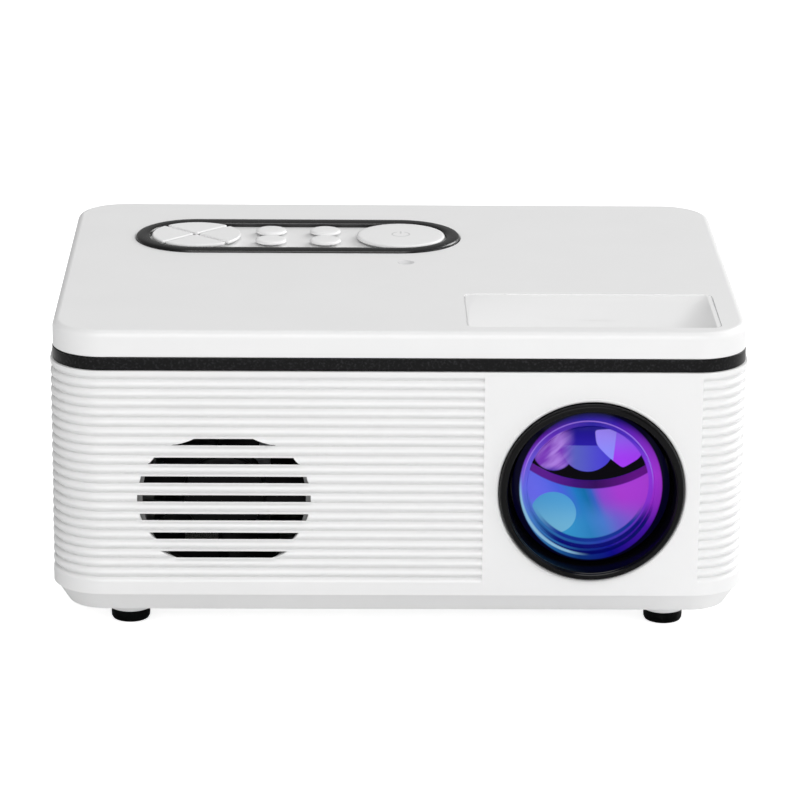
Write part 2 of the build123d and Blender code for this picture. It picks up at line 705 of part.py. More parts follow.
def slanted_plate(half_length, y_low, y_high):
    """Upright plate at 45 degrees behind the lens; y_low and y_high are its depths there."""
    plate = block(-half_length, half_length, y_low, y_high, -PANE_SIDE / 2, PANE_SIDE / 2)
    return Pos(LENS_X, BOX_MID_Y, LENS_Z) * Rot(0, 0, -45) * plate


def fold_mirror():
    """Mirror that turns the light from +X to the front."""
    return slanted_plate(HOLDER_HALF - MIRROR_END, 0, MIRROR_T)


def mirror_holder():
    """Plate behind the mirror that reaches the back wall of the light box."""
    return slanted_plate(HOLDER_HALF, MIRROR_T, MIRROR_T + HOLDER_T)


def funnel(small, large):
    """Square frustum between the lamp and the light box."""
    ends = [(SINK_FACE_X, -small / 2), (BOX_LEFT, -large / 2), (BOX_LEFT, large / 2),
            (SINK_FACE_X, small / 2)]
    flat = extrude(Pos(0, BOX_MID_Y, LENS_Z) * polygon(ends), large / 2, both=True)
    upright = Plane(origin=(0, BOX_MID_Y, LENS_Z), x_dir=(1, 0, 0), z_dir=(0, -1, 0)) * polygon(ends)
    return flat & extrude(upright, large / 2, both=True)


def light_cone():
    """Square funnel between the lamp and the light box."""
    return funnel(CONE_SMALL, BOX_SIDE) - funnel(CONE_SMALL - 2 * CONE_WALL, BOX_INNER)


def heatsink():
    """Aluminium plate with level fins, cooled by the air that the fan draws."""
    plate_x = SINK_FACE_X - SINK_PLATE_T
    body = block(plate_x, SINK_FACE_X, BOX_FRONT, BOX_BACK, BOX_LOW, BOX_TOP)
    step = (BOX_SIDE - FIN_T) / (FIN_COUNT - 1)
    for i in range(FIN_COUNT):
        z = BOX_LOW + i * step
        body += block(SINK_FACE_X - SINK_DEPTH, plate_x, BOX_FRONT, BOX_BACK, z, z + FIN_T)
    return body


def led_board():
    """Metal-cored board of the lamp."""
    half = STAR_SIDE / 2
    return block(SINK_FACE_X, SINK_FACE_X + STAR_T, BOX_MID_Y - half, BOX_MID_Y + half,
                 LENS_Z - half, LENS_Z + half)


def led_emitter():
    """Square yellow light source of the lamp."""
    half = EMITTER_SIDE / 2
    x = SINK_FACE_X + STAR_T
    return block(x, x + EMITTER_T, BOX_MID_Y - half, BOX_MID_Y + half, LENS_Z - half, LENS_Z + half)


def fan_frame():
    """Square frame of the fan with its round duct and crossed struts."""
    half = FAN_SIDE / 2
    body = block(GRILLE_X - half, GRILLE_X + half, FAN_FRONT_Y, FAN_BACK_Y, GRILLE_Z - half, GRILLE_Z + half)
    body -= rod_y(GRILLE_X, GRILLE_Z, FAN_DUCT_R, FAN_FRONT_Y - 1, FAN_BACK_Y + 1)
    reach = FAN_DUCT_R + FAN_STRUT_W / 3
    strut = FAN_STRUT_W / 2
    strut_y = FAN_BACK_Y - FAN_BACK_T
    for half_x, half_z in ((reach, strut), (strut, reach)):
        body += block(GRILLE_X - half_x, GRILLE_X + half_x, strut_y, FAN_BACK_Y,
                      GRILLE_Z - half_z, GRILLE_Z + half_z)
    return body


def fan_blade():
    """Flat pitched blade that points along +X from the fan's axis."""
    tilt = math.radians(BLADE_TILT)
    spread = (BLADE_CHORD * math.sin(tilt) + BLADE_T * math.cos(tilt)) / 2
    root = FAN_HUB_R - BLADE_T
    tip = math.sqrt((FAN_DUCT_R - FAN_TIP_GAP) ** 2 - spread ** 2)
    return Pos((root + tip) / 2, 0, 0) * Rot(BLADE_TILT, 0, 0) * Box(tip - root, BLADE_CHORD, BLADE_T)


def fan_rotor():
    """Fan wheel: hub and pitched blades."""
    wheel = rod_y(0, 0, FAN_HUB_R, -FAN_HUB_L / 2, FAN_HUB_L / 2)
    blade = fan_blade()
    for i in range(BLADE_COUNT):
        wheel += Rot(0, i * 360 / BLADE_COUNT, 0) * blade
    return Pos(GRILLE_X, FAN_FRONT_Y + FAN_FRONT_GAP + FAN_HUB_L / 2, GRILLE_Z) * wheel


def main_board():
    """Circuit board along the back of the base."""
    return block(-BOARD_HALF_X, BOARD_HALF_X, BOARD_Y1, BOARD_Y2, BOARD_Z, BOARD_TOP_Z)


def main_chip():
    """Flat processor package."""
    return pillar(CHIP_X, CHIP_Y, CHIP_SIDE, BOARD_TOP_Z, BOARD_TOP_Z + CHIP_T)


def power_coils():
    """Row of square coils of the power supply."""
    return Compound([pillar(COIL_X + i * COIL_STEP, COIL_Y, COIL_SIDE, BOARD_TOP_Z, BOARD_TOP_Z + COIL_H)
                     for i in range(COIL_COUNT)])


def socket_block(x, width, height, length):
    """Body of a socket that stands on the board with its mouth at the back."""
    return block(x - width / 2, x + width / 2, SOCKET_FACE_Y - length, SOCKET_FACE_Y,
                 BOARD_TOP_Z, BOARD_TOP_Z + height)


def metal_shell(x, width, height, length, wall):
    """Thin metal shell of a socket, open at the back and closed at its inner end."""
    inner = block(x - width / 2 + wall, x + width / 2 - wall, SOCKET_FACE_Y - length + wall, BACK,
                  BOARD_TOP_Z + wall, BOARD_TOP_Z + height - wall)
    return socket_block(x, width, height, length) - inner


def tongue(x, width, height, length, wall, thick):
    """Contact tongue fixed to the inner end of a metal shell."""
    z = BOARD_TOP_Z + height / 2
    half = width / 2 - wall - 1
    return block(x - half, x + half, SOCKET_FACE_Y - length + wall, SOCKET_FACE_Y - 1,
                 z - thick / 2, z + thick / 2)


def hdmi_shell():
    """Video socket with two slanted lower corners."""
    shell = metal_shell(HDMI_X, HDMI_W, HDMI_H, HDMI_L, HDMI_WALL)
    cut = HDMI_H / 3
    half = HDMI_W / 2
    plane = Plane(origin=(HDMI_X, BACK, BOARD_TOP_Z), x_dir=(-1, 0, 0), z_dir=(0, 1, 0))
    for side in (-1, 1):
        corner = polygon([(side * half, 0), (side * (half - cut), 0), (side * half, cut)])
        inner = polygon([(side * half, 0), (side * (half - cut - HDMI_WALL), 0),
                         (side * half, cut + HDMI_WALL)])
        shell += extrude(plane * inner, -HDMI_L - SOCKET_SINK) & socket_block(HDMI_X, HDMI_W, HDMI_H, HDMI_L)
        shell -= extrude(plane * corner, -HDMI_L - 2 * SOCKET_SINK)
    return shell


def av_jack():
    """Round sound and picture jack."""
    z = BOARD_TOP_Z + AV_H / 2
    bore = rod_y(AV_X, z, AV_BORE_R, SOCKET_FACE_Y - AV_DEPTH, BACK)
    return socket_block(AV_X, AV_W, AV_H, AV_L) - bore


def card_socket():
    """Flat memory-card socket."""
    z = BOARD_TOP_Z + CARD_H / 2
    half = CARD_SLOT_W / 2
    slot = block(CARD_X - half, CARD_X + half, SOCKET_FACE_Y - CARD_L + CARD_H, BACK,
                 z - CARD_SLOT_H / 2, z + CARD_SLOT_H / 2)
    return socket_block(CARD_X, CARD_W, CARD_H, CARD_L) - slot


def dc_jack():
    """Power inlet, a block with a round hollow."""
    z = BOARD_TOP_Z + DC_H / 2
    return (socket_block(DC_X, DC_W, DC_H, DC_L)
            - rod_y(DC_X, z, DC_BORE_R, SOCKET_FACE_Y - DC_DEPTH, BACK))


def dc_pin():
    """Six-sided split centre pin of the power inlet."""
    root = (DC_X, SOCKET_FACE_Y - DC_DEPTH, BOARD_TOP_Z + DC_H / 2)
    pin = Plane(origin=root, x_dir=(1, 0, 0), z_dir=(0, 1, 0)) * RegularPolygon(DC_PIN_R, 6)
    return extrude(pin, DC_DEPTH - 1)


def speaker_block(inset, z_low, z_high):
    """Rectangular block on the speaker's middle, moved in by inset."""
    half_w = SPEAKER_W / 2 - inset
    half_d = SPEAKER_D / 2 - inset
    return block(SPEAKER_X - half_w, SPEAKER_X + half_w, SPEAKER_Y - half_d, SPEAKER_Y + half_d,
                 z_low, z_high)


def speaker_frame():
    """Speaker case, open towards the slots in the base."""
    top = FLOOR_Z + SPEAKER_H
    return speaker_block(0, FLOOR_Z, top) - speaker_block(SPEAKER_WALL, BASE_LIFT, top - SPEAKER_WALL)


def speaker_cone():
    """Flat membrane inside the speaker case."""
    top = FLOOR_Z + SPEAKER_H - SPEAKER_WALL - GAP
    return speaker_block(SPEAKER_WALL + GAP, top - SPEAKER_CONE_T, top)


def speaker_magnet():
    """Magnet on the back of the speaker case."""
    z = FLOOR_Z + SPEAKER_H
    return pillar(SPEAKER_X, SPEAKER_Y, MAGNET_SIDE, z, z + MAGNET_H)


def all_parts():
    """Every sub-part of the projector by its node name."""
    parts = {
        "lower_housing": lower_housing(),
        "base_cover": base_cover(),
        "trim_band": trim_band(),
        "top_cover": top_cover(),
        "control_ring": control_ring(),
        "ir_window": ir_window(),
        "power_key": round_key(POWER_X, PANEL_Y, POWER_R),
        "keypad_board": keypad_board(),
        "tact_switches": tact_switches(),
        "ir_receiver": ir_receiver(),
        "rubber_feet": rubber_feet(),
        "tripod_nut": tripod_nut(),
        "focus_ring": focus_ring(),
        "lens_carriage": lens_carriage(),
        "front_lens": front_lens(),
        "rear_lens": rear_lens(),
        "light_box": light_box(),
        "light_box_lid": light_box_lid(),
        "heat_glass": pane(HEAT_GLASS_X, HEAT_GLASS_T),
        "rear_fresnel": pane(REAR_FRESNEL_X, FRESNEL_T),
        "lcd_panel": pane(LCD_X, LCD_T),
        "front_fresnel": pane(FRONT_FRESNEL_X, FRESNEL_T),
        "fold_mirror": fold_mirror(),
        "mirror_holder": mirror_holder(),
        "light_cone": light_cone(),
        "heatsink": heatsink(),
        "led_board": led_board(),
        "led_emitter": led_emitter(),
        "fan_frame": fan_frame(),
        "fan_rotor": fan_rotor(),
        "main_board": main_board(),
        "main_chip": main_chip(),
        "power_coils": power_coils(),
        "hdmi_shell": hdmi_shell(),
        "hdmi_tongue": tongue(HDMI_X, HDMI_W, HDMI_H, HDMI_L, HDMI_WALL, HDMI_TONGUE_T),
        "usb_shell": metal_shell(USB_X, USB_W, USB_H, USB_L, USB_WALL),
        "usb_tongue": tongue(USB_X, USB_W, USB_H, USB_L, USB_WALL, USB_TONGUE_T),
        "av_jack": av_jack(),
        "card_socket": card_socket(),
        "dc_jack": dc_jack(),
        "dc_pin": dc_pin(),
        "speaker_frame": speaker_frame(),
        "speaker_cone": speaker_cone(),
        "speaker_magnet": speaker_magnet(),
    }
    for name, angle in (("key_right", 0), ("key_up", 90), ("key_left", 180), ("key_down", 270)):
        parts[name] = direction_key(angle)
    for number, (x, y) in enumerate(small_key_places(), start=1):
        parts[f"small_key_{number}"] = round_key(x, y, SMALL_R)
    return parts


os.makedirs("parts", exist_ok=True)
for node, solid in all_parts().items():
    export_step(solid, f"parts/{node}.step")
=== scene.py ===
"""Looks of a mini LED projector: ribbed white case, round slot grille, coated lens and key panel."""
import json
import logging
import math
from dataclasses import dataclass
from enum import Enum
from typing import Any

import bmesh
import bpy
from mathutils import Matrix, Vector


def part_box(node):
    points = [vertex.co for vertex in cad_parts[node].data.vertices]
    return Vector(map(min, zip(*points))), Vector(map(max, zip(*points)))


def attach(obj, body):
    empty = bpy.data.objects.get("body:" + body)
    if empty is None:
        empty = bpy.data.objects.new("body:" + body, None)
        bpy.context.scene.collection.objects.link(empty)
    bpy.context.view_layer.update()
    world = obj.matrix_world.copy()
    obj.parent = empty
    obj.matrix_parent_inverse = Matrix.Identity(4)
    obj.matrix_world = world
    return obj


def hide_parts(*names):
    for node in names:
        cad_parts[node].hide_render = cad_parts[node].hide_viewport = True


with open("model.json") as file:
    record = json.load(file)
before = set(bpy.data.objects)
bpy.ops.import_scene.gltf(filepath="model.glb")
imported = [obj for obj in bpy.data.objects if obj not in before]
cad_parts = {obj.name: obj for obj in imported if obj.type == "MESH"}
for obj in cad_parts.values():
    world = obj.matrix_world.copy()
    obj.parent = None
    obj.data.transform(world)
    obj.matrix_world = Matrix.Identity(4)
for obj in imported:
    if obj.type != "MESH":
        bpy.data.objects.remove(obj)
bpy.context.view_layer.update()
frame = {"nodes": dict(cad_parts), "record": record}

MM = 0.001
MERGE = 0.002 * MM  # points nearer than this become one
SHARP = 32.0  # edges that turn by more than this many degrees stay sharp
FLAT = 0.5  # faces that turn by less than this many degrees become one
WEIGHT = 80  # how much more a large face counts than a small one in a smoothed corner
OVERCUT = 1.0  # millimetres that a cutting tool stands past what it cuts
STRAIGHT = 0.001  # half the straight run left between two round corners, so that their ends stay apart
Point = tuple[float, float, float]
Plan = list[tuple[float, float]]
Faces = list[tuple[int, ...]]
log = logging.getLogger("projector")


class Slot(Enum):
    """The record's finishes that a new piece can take."""

    CASE = "white_abs"
    KEYS = "white_keys"
    TRIM = "black_trim"
    LENS_PLASTIC = "black_lens_plastic"
    INNER_PLASTIC = "black_inner_plastic"
    LENS_GLASS = "coated_glass"
    CLEAR = "clear_panes"
    LCD = "lcd"
    WINDOW = "milky_window"
    MIRROR = "silvered"
    ALUMINIUM = "aluminium"
    BOARD = "circuit_board"
    STEEL = "steel"
    PHOSPHOR = "yellow_phosphor"
    BRASS = "brass"
    RUBBER = "rubber"
    PAPER = "cone_paper"


# ---------------------------------------------------------------- nodes and colour


def linear(hex_colour: str) -> tuple[float, float, float, float]:
    """Turns an sRGB hex colour into the linear RGBA that shaders take.

    Args:
        hex_colour: Six hex digits, without a hash.

    Returns:
        The linear colour with full alpha.
    """
    shares = [int(hex_colour[i : i + 2], 16) / 255 for i in (0, 2, 4)]
    rgb = [s / 12.92 if s <= 0.04045 else ((s + 0.055) / 1.055) ** 2.4 for s in shares]
    return (rgb[0], rgb[1], rgb[2], 1.0)


def add_node(tree: bpy.types.NodeTree, kind: str, settings: dict | None = None, inputs: dict | None = None) -> Any:
    """Adds a node to a shader or geometry tree, with its settings and links.

    Args:
        tree: The tree that gets the node.
        kind: The node's type.
        settings: Attributes of the node and their values.
        inputs: Values, sockets or terms by the name or number of the input that takes them.

    Returns:
        The new node.
    """
    node = tree.nodes.new(kind)
    for name, value in (settings or {}).items():
        setattr(node, name, value)
    for key, value in (inputs or {}).items():
        if isinstance(value, Term):
            value = value.socket
        if isinstance(value, bpy.types.NodeSocket):
            tree.links.new(value, node.inputs[key])
        else:
            node.inputs[key].default_value = value
    return node


class Term:
    """A number in a node tree. Sums written with terms become math nodes."""

    def __init__(self, tree: bpy.types.NodeTree, socket: Any) -> None:
        """Takes a socket of a tree as a number."""
        self.tree, self.socket = tree, socket

    def calc(self, operation: str, *values: Any) -> "Term":
        """Adds a math node.

        Args:
            operation: The node's operation.
            *values: Numbers, sockets or terms that it works on, in order.

        Returns:
            The node's result.
        """
        inputs = dict(enumerate(values))
        return Term(self.tree, add_node(self.tree, "ShaderNodeMath", {"operation": operation}, inputs).outputs[0])

    def __add__(self, other: Any) -> "Term":
        """This number and another."""
        return self.calc("ADD", self, other)

    def __sub__(self, other: Any) -> "Term":
        """This number less another."""
        return self.calc("SUBTRACT", self, other)

    def __rsub__(self, other: Any) -> "Term":
        """Another number less this one."""
        return self.calc("SUBTRACT", other, self)

    def __mul__(self, other: Any) -> "Term":
        """This number times another."""
        return self.calc("MULTIPLY", self, other)

    def __truediv__(self, other: Any) -> "Term":
        """This number divided by another."""
        return self.calc("DIVIDE", self, other)

    def __gt__(self, other: Any) -> "Term":
        """1 where this number is the greater one, otherwise 0."""
        return self.calc("GREATER_THAN", self, other)

    def __lt__(self, other: Any) -> "Term":
        """1 where this number is the lesser one, otherwise 0."""
        return self.calc("LESS_THAN", self, other)

    def least(self, other: Any) -> "Term":
        """The lesser of this number and another."""
        return self.calc("MINIMUM", self, other)

    def most(self, other: Any) -> "Term":
        """The greater of this number and another."""
        return self.calc("MAXIMUM", self, other)

    def root(self) -> "Term":
        """Square root of this number."""
        return self.calc("SQRT", self)

    def near(self, middle: float, reach: float) -> "Term":
        """1 where this number lies within reach of a middle, otherwise 0."""
        return self.calc("COMPARE", self, middle, reach)


def terms(tree: bpy.types.NodeTree, where: Any) -> tuple[Term, Term, Term]:
    """The three coordinates of a vector socket."""
    x, y, z = add_node(tree, "ShaderNodeSeparateXYZ", None, {0: where}).outputs
    return Term(tree, x), Term(tree, y), Term(tree, z)


def mixed(tree: bpy.types.NodeTree, factor: Any, below: Any, above: Any) -> Any:
    """Adds a node that goes from one colour to another.

    Args:
        tree: The tree that gets the node.
        factor: Share of the second colour.
        below: The first colour, as hex digits or a socket.
        above: The second colour.

    Returns:
        The socket of the mixed colour.
    """
    ends = [linear(colour) if isinstance(colour, str) else colour for colour in (below, above)]
    return add_node(tree, "ShaderNodeMix", {"data_type": "RGBA"}, {
        "Factor": factor, "A": ends[0], "B": ends[1]}).outputs["Result"]


def noise(tree: bpy.types.NodeTree, where: Any, scale: float, detail: float = 2.0) -> Any:
    """Adds a noise texture and gives its value."""
    return add_node(tree, "ShaderNodeTexNoise", None, {
        "Vector": where, "Scale": scale, "Detail": detail}).outputs["Fac"]


def new_material(name: str) -> tuple[bpy.types.Material, bpy.types.NodeTree, Any, Any]:
    """Starts a material.

    Args:
        name: What it is made of.

    Returns:
        The material, its tree, its shader and the socket of the object's coordinates.
    """
    material = bpy.data.materials.new(name)
    material.use_nodes = True
    tree = material.node_tree
    return material, tree, tree.nodes["Principled BSDF"], add_node(tree, "ShaderNodeTexCoord").outputs["Object"]


def dress(tree: bpy.types.NodeTree, colour: Any, pattern: Any, gloss: tuple[float, float] | None, strength: float,
          depth_mm: float) -> None:
    """Gives a material's shader a colour, uneven gloss and fine relief.

    Args:
        tree: The material's tree.
        colour: Socket of the colour.
        pattern: Socket of the pattern that gloss and relief follow.
        gloss: Roughness at the pattern's low and high end, or None for an even one.
        strength: Strength of the relief.
        depth_mm: Depth of the relief.
    """
    shader = tree.nodes["Principled BSDF"]
    tree.links.new(colour, shader.inputs["Base Color"])
    if gloss:
        rough = add_node(tree, "ShaderNodeMapRange", None, {"Value": pattern, "To Min": gloss[0], "To Max": gloss[1]})
        tree.links.new(rough.outputs[0], shader.inputs["Roughness"])
    relief = add_node(tree, "ShaderNodeBump", None, {
        "Height": pattern, "Strength": strength, "Distance": depth_mm * MM})
    tree.links.new(relief.outputs[0], shader.inputs["Normal"])


# ---------------------------------------------------------------- mesh making


def rounded(x1: float, x2: float, y1: float, y2: float, radius: float, arc: int, run: int = 1) -> Plan:
    """Points of a rectangle with round corners, counter-clockwise.

    Args:
        x1: Left side.
        x2: Right side.
        y1: Front side.
        y2: Back side.
        radius: Corner radius.
        arc: Steps in each corner.
        run: Steps in each straight side.

    Returns:
        The closed outline, without its first point repeated.
    """
    places = ((x2 - radius, y1 + radius, -90), (x2 - radius, y2 - radius, 0),
              (x1 + radius, y2 - radius, 90), (x1 + radius, y1 + radius, 180))
    points = [arc_points(cx, cy, radius, start, start + 90, arc) for cx, cy, start in places]
    outline = []
    for index, corner in enumerate(points):
        outline += corner
        (ax, ay), (bx, by) = corner[-1], points[(index + 1) % 4][0]
        outline += [(ax + (bx - ax) * k / run, ay + (by - ay) * k / run) for k in range(1, run)]
    return outline


def arc_points(cx: float, cy: float, radius: float, start: float, end: float, steps: int) -> Plan:
    """Points on an arc of the plan, both ends included; angles in degrees."""
    turns = [math.radians(start + (end - start) * k / steps) for k in range(steps + 1)]
    return [(cx + radius * math.cos(t), cy + radius * math.sin(t)) for t in turns]


def at(plan: Plan, z: float) -> list[Point]:
    """A plan outline lifted to a level."""
    return [(x, y, z) for x, y in plan]


def four(x: float, y: float) -> Plan:
    """The four plan points at plus and minus x and y."""
    return [(sx * x, sy * y) for sx in (-1, 1) for sy in (-1, 1)]


def loft(rings: list[list[Point]], ring_closed: bool = False) -> tuple[list[Point], Faces]:
    """Skins a stack of rings that have equal numbers of points.

    Args:
        rings: The rings, in order.
        ring_closed: Whether the last ring joins the first, instead of both being capped.

    Returns:
        Points and faces.
    """
    count = len(rings[0])
    points = [point for ring in rings for point in ring]
    levels = len(rings) if ring_closed else len(rings) - 1
    faces: Faces = []
    for level in range(levels):
        low = level * count
        high = ((level + 1) % len(rings)) * count
        for i in range(count):
            j = (i + 1) % count
            faces.append((low + i, low + j, high + j, high + i))
    if not ring_closed:
        faces.append(tuple(reversed(range(count))))
        faces.append(tuple(range(len(points) - count, len(points))))
    return points, faces


def link(name: str, mesh: bpy.types.Mesh) -> bpy.types.Object:
    """Puts a mesh in the scene as an object at the origin.

    Args:
        name: Name of the object.
        mesh: Its mesh.

    Returns:
        The object.
    """
    piece = bpy.data.objects.new(name, mesh)
    bpy.context.scene.collection.objects.link(piece)
    return piece


def close_up(mesh: bpy.types.Mesh, sharp: float = SHARP) -> None:
    """Merges doubles, turns faces outwards and smooths all but the sharp edges.

    Args:
        mesh: The mesh to clean.
        sharp: Edges that turn by more than this many degrees stay sharp.
    """
    work = bmesh.new()
    work.from_mesh(mesh)
    bmesh.ops.remove_doubles(work, verts=work.verts, dist=MERGE)
    bmesh.ops.dissolve_degenerate(work, edges=work.edges, dist=MERGE / 4)
    bmesh.ops.recalc_face_normals(work, faces=work.faces)
    work.to_mesh(mesh)
    work.free()
    shade(mesh, sharp)


def shade(mesh: bpy.types.Mesh, sharp: float) -> None:
    """Shades a mesh smooth but for edges that turn by more than so many degrees.

    Args:
        mesh: The mesh.
        sharp: Edges that turn by more than this stay sharp.
    """
    for face in mesh.polygons:
        face.use_smooth = True
    mesh.set_sharp_from_angle(angle=math.radians(sharp))


def make(name: str, points: list[Point], faces: Faces, sharp: float = SHARP) -> bpy.types.Object:
    """Makes a closed piece.

    Args:
        name: Name of the piece.
        points: Its points in millimetres.
        faces: Its faces.
        sharp: Edges that turn by more than this many degrees stay sharp.

    Returns:
        The piece.
    """
    mesh = bpy.data.meshes.new(name)
    mesh.from_pydata([(x * MM, y * MM, z * MM) for x, y, z in points], [], faces)
    close_up(mesh, sharp)
    return link(name, mesh)


def prism(name: str, plan: Plan, z1: float, z2: float) -> bpy.types.Object:
    """A plan outline raised between two levels."""
    return make(name, *loft([at(plan, z1), at(plan, z2)]))


def slab(name: str, x1: float, x2: float, y1: float, y2: float, z1: float, z2: float) -> bpy.types.Object:
    """A block between two corners, used to cut and to join."""
    return prism(name, [(x1, y1), (x2, y1), (x2, y2), (x1, y2)], z1, z2)


def post(name: str, x: float, y: float, half: float, z1: float, z2: float) -> bpy.types.Object:
    """A square block round a plan point, with half its side."""
    return slab(name, x - half, x + half, y - half, y + half, z1, z2)


def turned(name: str, profile: Plan, centre: Point, along: str = "Y", steps: int = 96,
           ring: bool = True) -> bpy.types.Object:
    """Turns a profile about an axis, as on a lathe.

    Args:
        name: Name of the piece.
        profile: Radius and place along the axis, in millimetres.
        centre: A point on the axis.
        along: The axis, Y or Z.
        steps: Steps round the axis.
        ring: Whether the profile closes on itself away from the axis.

    Returns:
        The turned piece.
    """
    turns = [2 * math.pi * k / steps for k in range(steps)]
    rings = []
    for radius, place in profile:
        circle = [(radius * math.cos(t), radius * math.sin(t)) for t in turns]
        if along == "Y":
            rings.append([(centre[0] + u, place, centre[2] + v) for u, v in circle])
        else:
            rings.append([(centre[0] + u, centre[1] + v, place) for u, v in circle])
    return make(name, *loft(rings, ring_closed=ring))


def bake(piece: bpy.types.Object) -> bpy.types.Object:
    """Turns a piece with its modifiers into a plain mesh.

    Args:
        piece: The piece.

    Returns:
        The same piece, with a new mesh.
    """
    graph = bpy.context.evaluated_depsgraph_get()
    mesh = bpy.data.meshes.new_from_object(piece.evaluated_get(graph), depsgraph=graph)
    piece.modifiers.clear()
    piece.data = mesh
    return piece


def carve(piece: bpy.types.Object, tool: bpy.types.Object, mode: str = "DIFFERENCE") -> bpy.types.Object:
    """Cuts a tool out of a piece or adds it, and removes the tool.

    Args:
        piece: The piece.
        tool: The shape that it is cut or grown by.
        mode: DIFFERENCE to cut, UNION to add.

    Returns:
        The piece.
    """
    cut = piece.modifiers.new("cut", "BOOLEAN")
    cut.operation = mode
    cut.solver = "EXACT"
    cut.object = tool
    bake(piece)
    bpy.data.objects.remove(tool)
    return piece


def join(name: str, pieces: list[bpy.types.Object]) -> bpy.types.Object:
    """Puts several pieces into one mesh and removes them.

    Args:
        name: Name of the new piece.
        pieces: The pieces.

    Returns:
        The new piece.
    """
    work = bmesh.new()
    for piece in pieces:
        work.from_mesh(piece.data)
    mesh = bpy.data.meshes.new(name)
    work.to_mesh(mesh)
    work.free()
    for piece in pieces:
        bpy.data.objects.remove(piece)
    return link(name, mesh)


def smooth(piece: bpy.types.Object, sharp: float = SHARP) -> bpy.types.Object:
    """Smooths a piece, with flat faces kept flat by weighting normals by area.

    Args:
        piece: The piece.
        sharp: Edges that turn by more than this many degrees stay sharp.

    Returns:
        The piece.
    """
    shade(piece.data, sharp)
    weight = piece.modifiers.new("weight", "WEIGHTED_NORMAL")
    weight.keep_sharp = True
    weight.weight = WEIGHT
    return bake(piece)


def soften(piece: bpy.types.Object, width_mm: float, steps: int = 2) -> bpy.types.Object:
    """Rounds the sharp edges of a piece.

    Args:
        piece: The piece.
        width_mm: Width of the rounding.
        steps: Faces across the rounding.

    Returns:
        The piece.
    """
    bevel = piece.modifiers.new("edge", "BEVEL")
    bevel.width = width_mm * MM
    bevel.segments = steps
    bevel.limit_method = "ANGLE"
    bevel.angle_limit = math.radians(SHARP)
    bevel.use_clamp_overlap = True
    return smooth(bake(piece), sharp=50.0)


def softened_copy(node: str, name: str, width_mm: float, steps: int) -> bpy.types.Object:
    """Makes a merged copy of a CAD node's mesh and rounds its edges.

    Args:
        node: The CAD node.
        name: Name of the new piece.
        width_mm: Width of the rounding.
        steps: Faces across the rounding.

    Returns:
        The new piece.
    """
    mesh = frame["nodes"][node].data.copy()
    mesh.materials.clear()
    work = bmesh.new()
    work.from_mesh(mesh)
    bmesh.ops.remove_doubles(work, verts=work.verts, dist=MERGE)
    bmesh.ops.dissolve_limit(work, angle_limit=math.radians(FLAT), verts=work.verts, edges=work.edges)
    work.to_mesh(mesh)
    work.free()
    if "custom_normal" in mesh.attributes:
        mesh.attributes.remove(mesh.attributes["custom_normal"])
    return soften(link(name, mesh), width_mm, steps)


def smooth_min(a: float, b: float, blend: float) -> float:
    """The lesser of two values, with a soft change between them."""
    share = max(blend - abs(a - b), 0.0) / blend
    return min(a, b) - share * share * blend / 4


# ---------------------------------------------------------------- geometry node trees


def new_tree(name: str, inputs: dict[str, str]) -> tuple[bpy.types.NodeTree, Any, Any]:
    """Starts a geometry node tree.

    Args:
        name: Name of the tree.
        inputs: Socket types by the names of the tree's inputs.

    Returns:
        The tree, its input node and its output node.
    """
    tree = bpy.data.node_groups.new(name, "GeometryNodeTree")
    tree.interface.new_socket(name="Geometry", in_out="INPUT", socket_type="NodeSocketGeometry")
    for label, kind in inputs.items():
        tree.interface.new_socket(name=label, in_out="INPUT", socket_type=kind)
    tree.interface.new_socket(name="Geometry", in_out="OUTPUT", socket_type="NodeSocketGeometry")
    return tree, tree.nodes.new("NodeGroupInput"), tree.nodes.new("NodeGroupOutput")


def grow(name: str, tree: bpy.types.NodeTree, points: list[Point], edges: list, values: dict) -> bpy.types.Object:
    """Runs a geometry node tree on a few points and keeps the result as a plain mesh.

    Args:
        name: Name of the piece.
        tree: The tree.
        points: Points in millimetres that the tree starts from.
        edges: Edges between them.
        values: Values by the names of the tree's inputs.

    Returns:
        The finished piece.
    """
    mesh = bpy.data.meshes.new(name)
    mesh.from_pydata([(x * MM, y * MM, z * MM) for x, y, z in points], edges, [])
    piece = link(name, mesh)
    run = piece.modifiers.new("shape", "NODES")
    run.node_group = tree
    for item in tree.interface.items_tree:
        if item.item_type == "SOCKET" and item.in_out == "INPUT" and item.name in values:
            run[item.identifier] = values[item.name]
    piece.update_tag()
    bpy.context.view_layer.update()
    return bake(piece)


BEAD_HALF = 0.4  # half a bead's height, as a share of the ribs' pitch
BEAD_ARC = 0.98  # how far down its ellipse a bead's flank goes


def finish_tree(tree: bpy.types.NodeTree, shape: Any, material: Any, out: Any) -> None:
    """Ends a tree: real copies of the shape, in a material.

    Args:
        tree: The tree.
        shape: Socket of the shape.
        material: Socket of the material.
        out: The tree's output node.
    """
    real = add_node(tree, "GeometryNodeRealizeInstances", None, {0: shape})
    last = add_node(tree, "GeometryNodeSetMaterial", None, {"Geometry": real.outputs[0], "Material": material})
    tree.links.new(last.outputs[0], out.inputs[0])


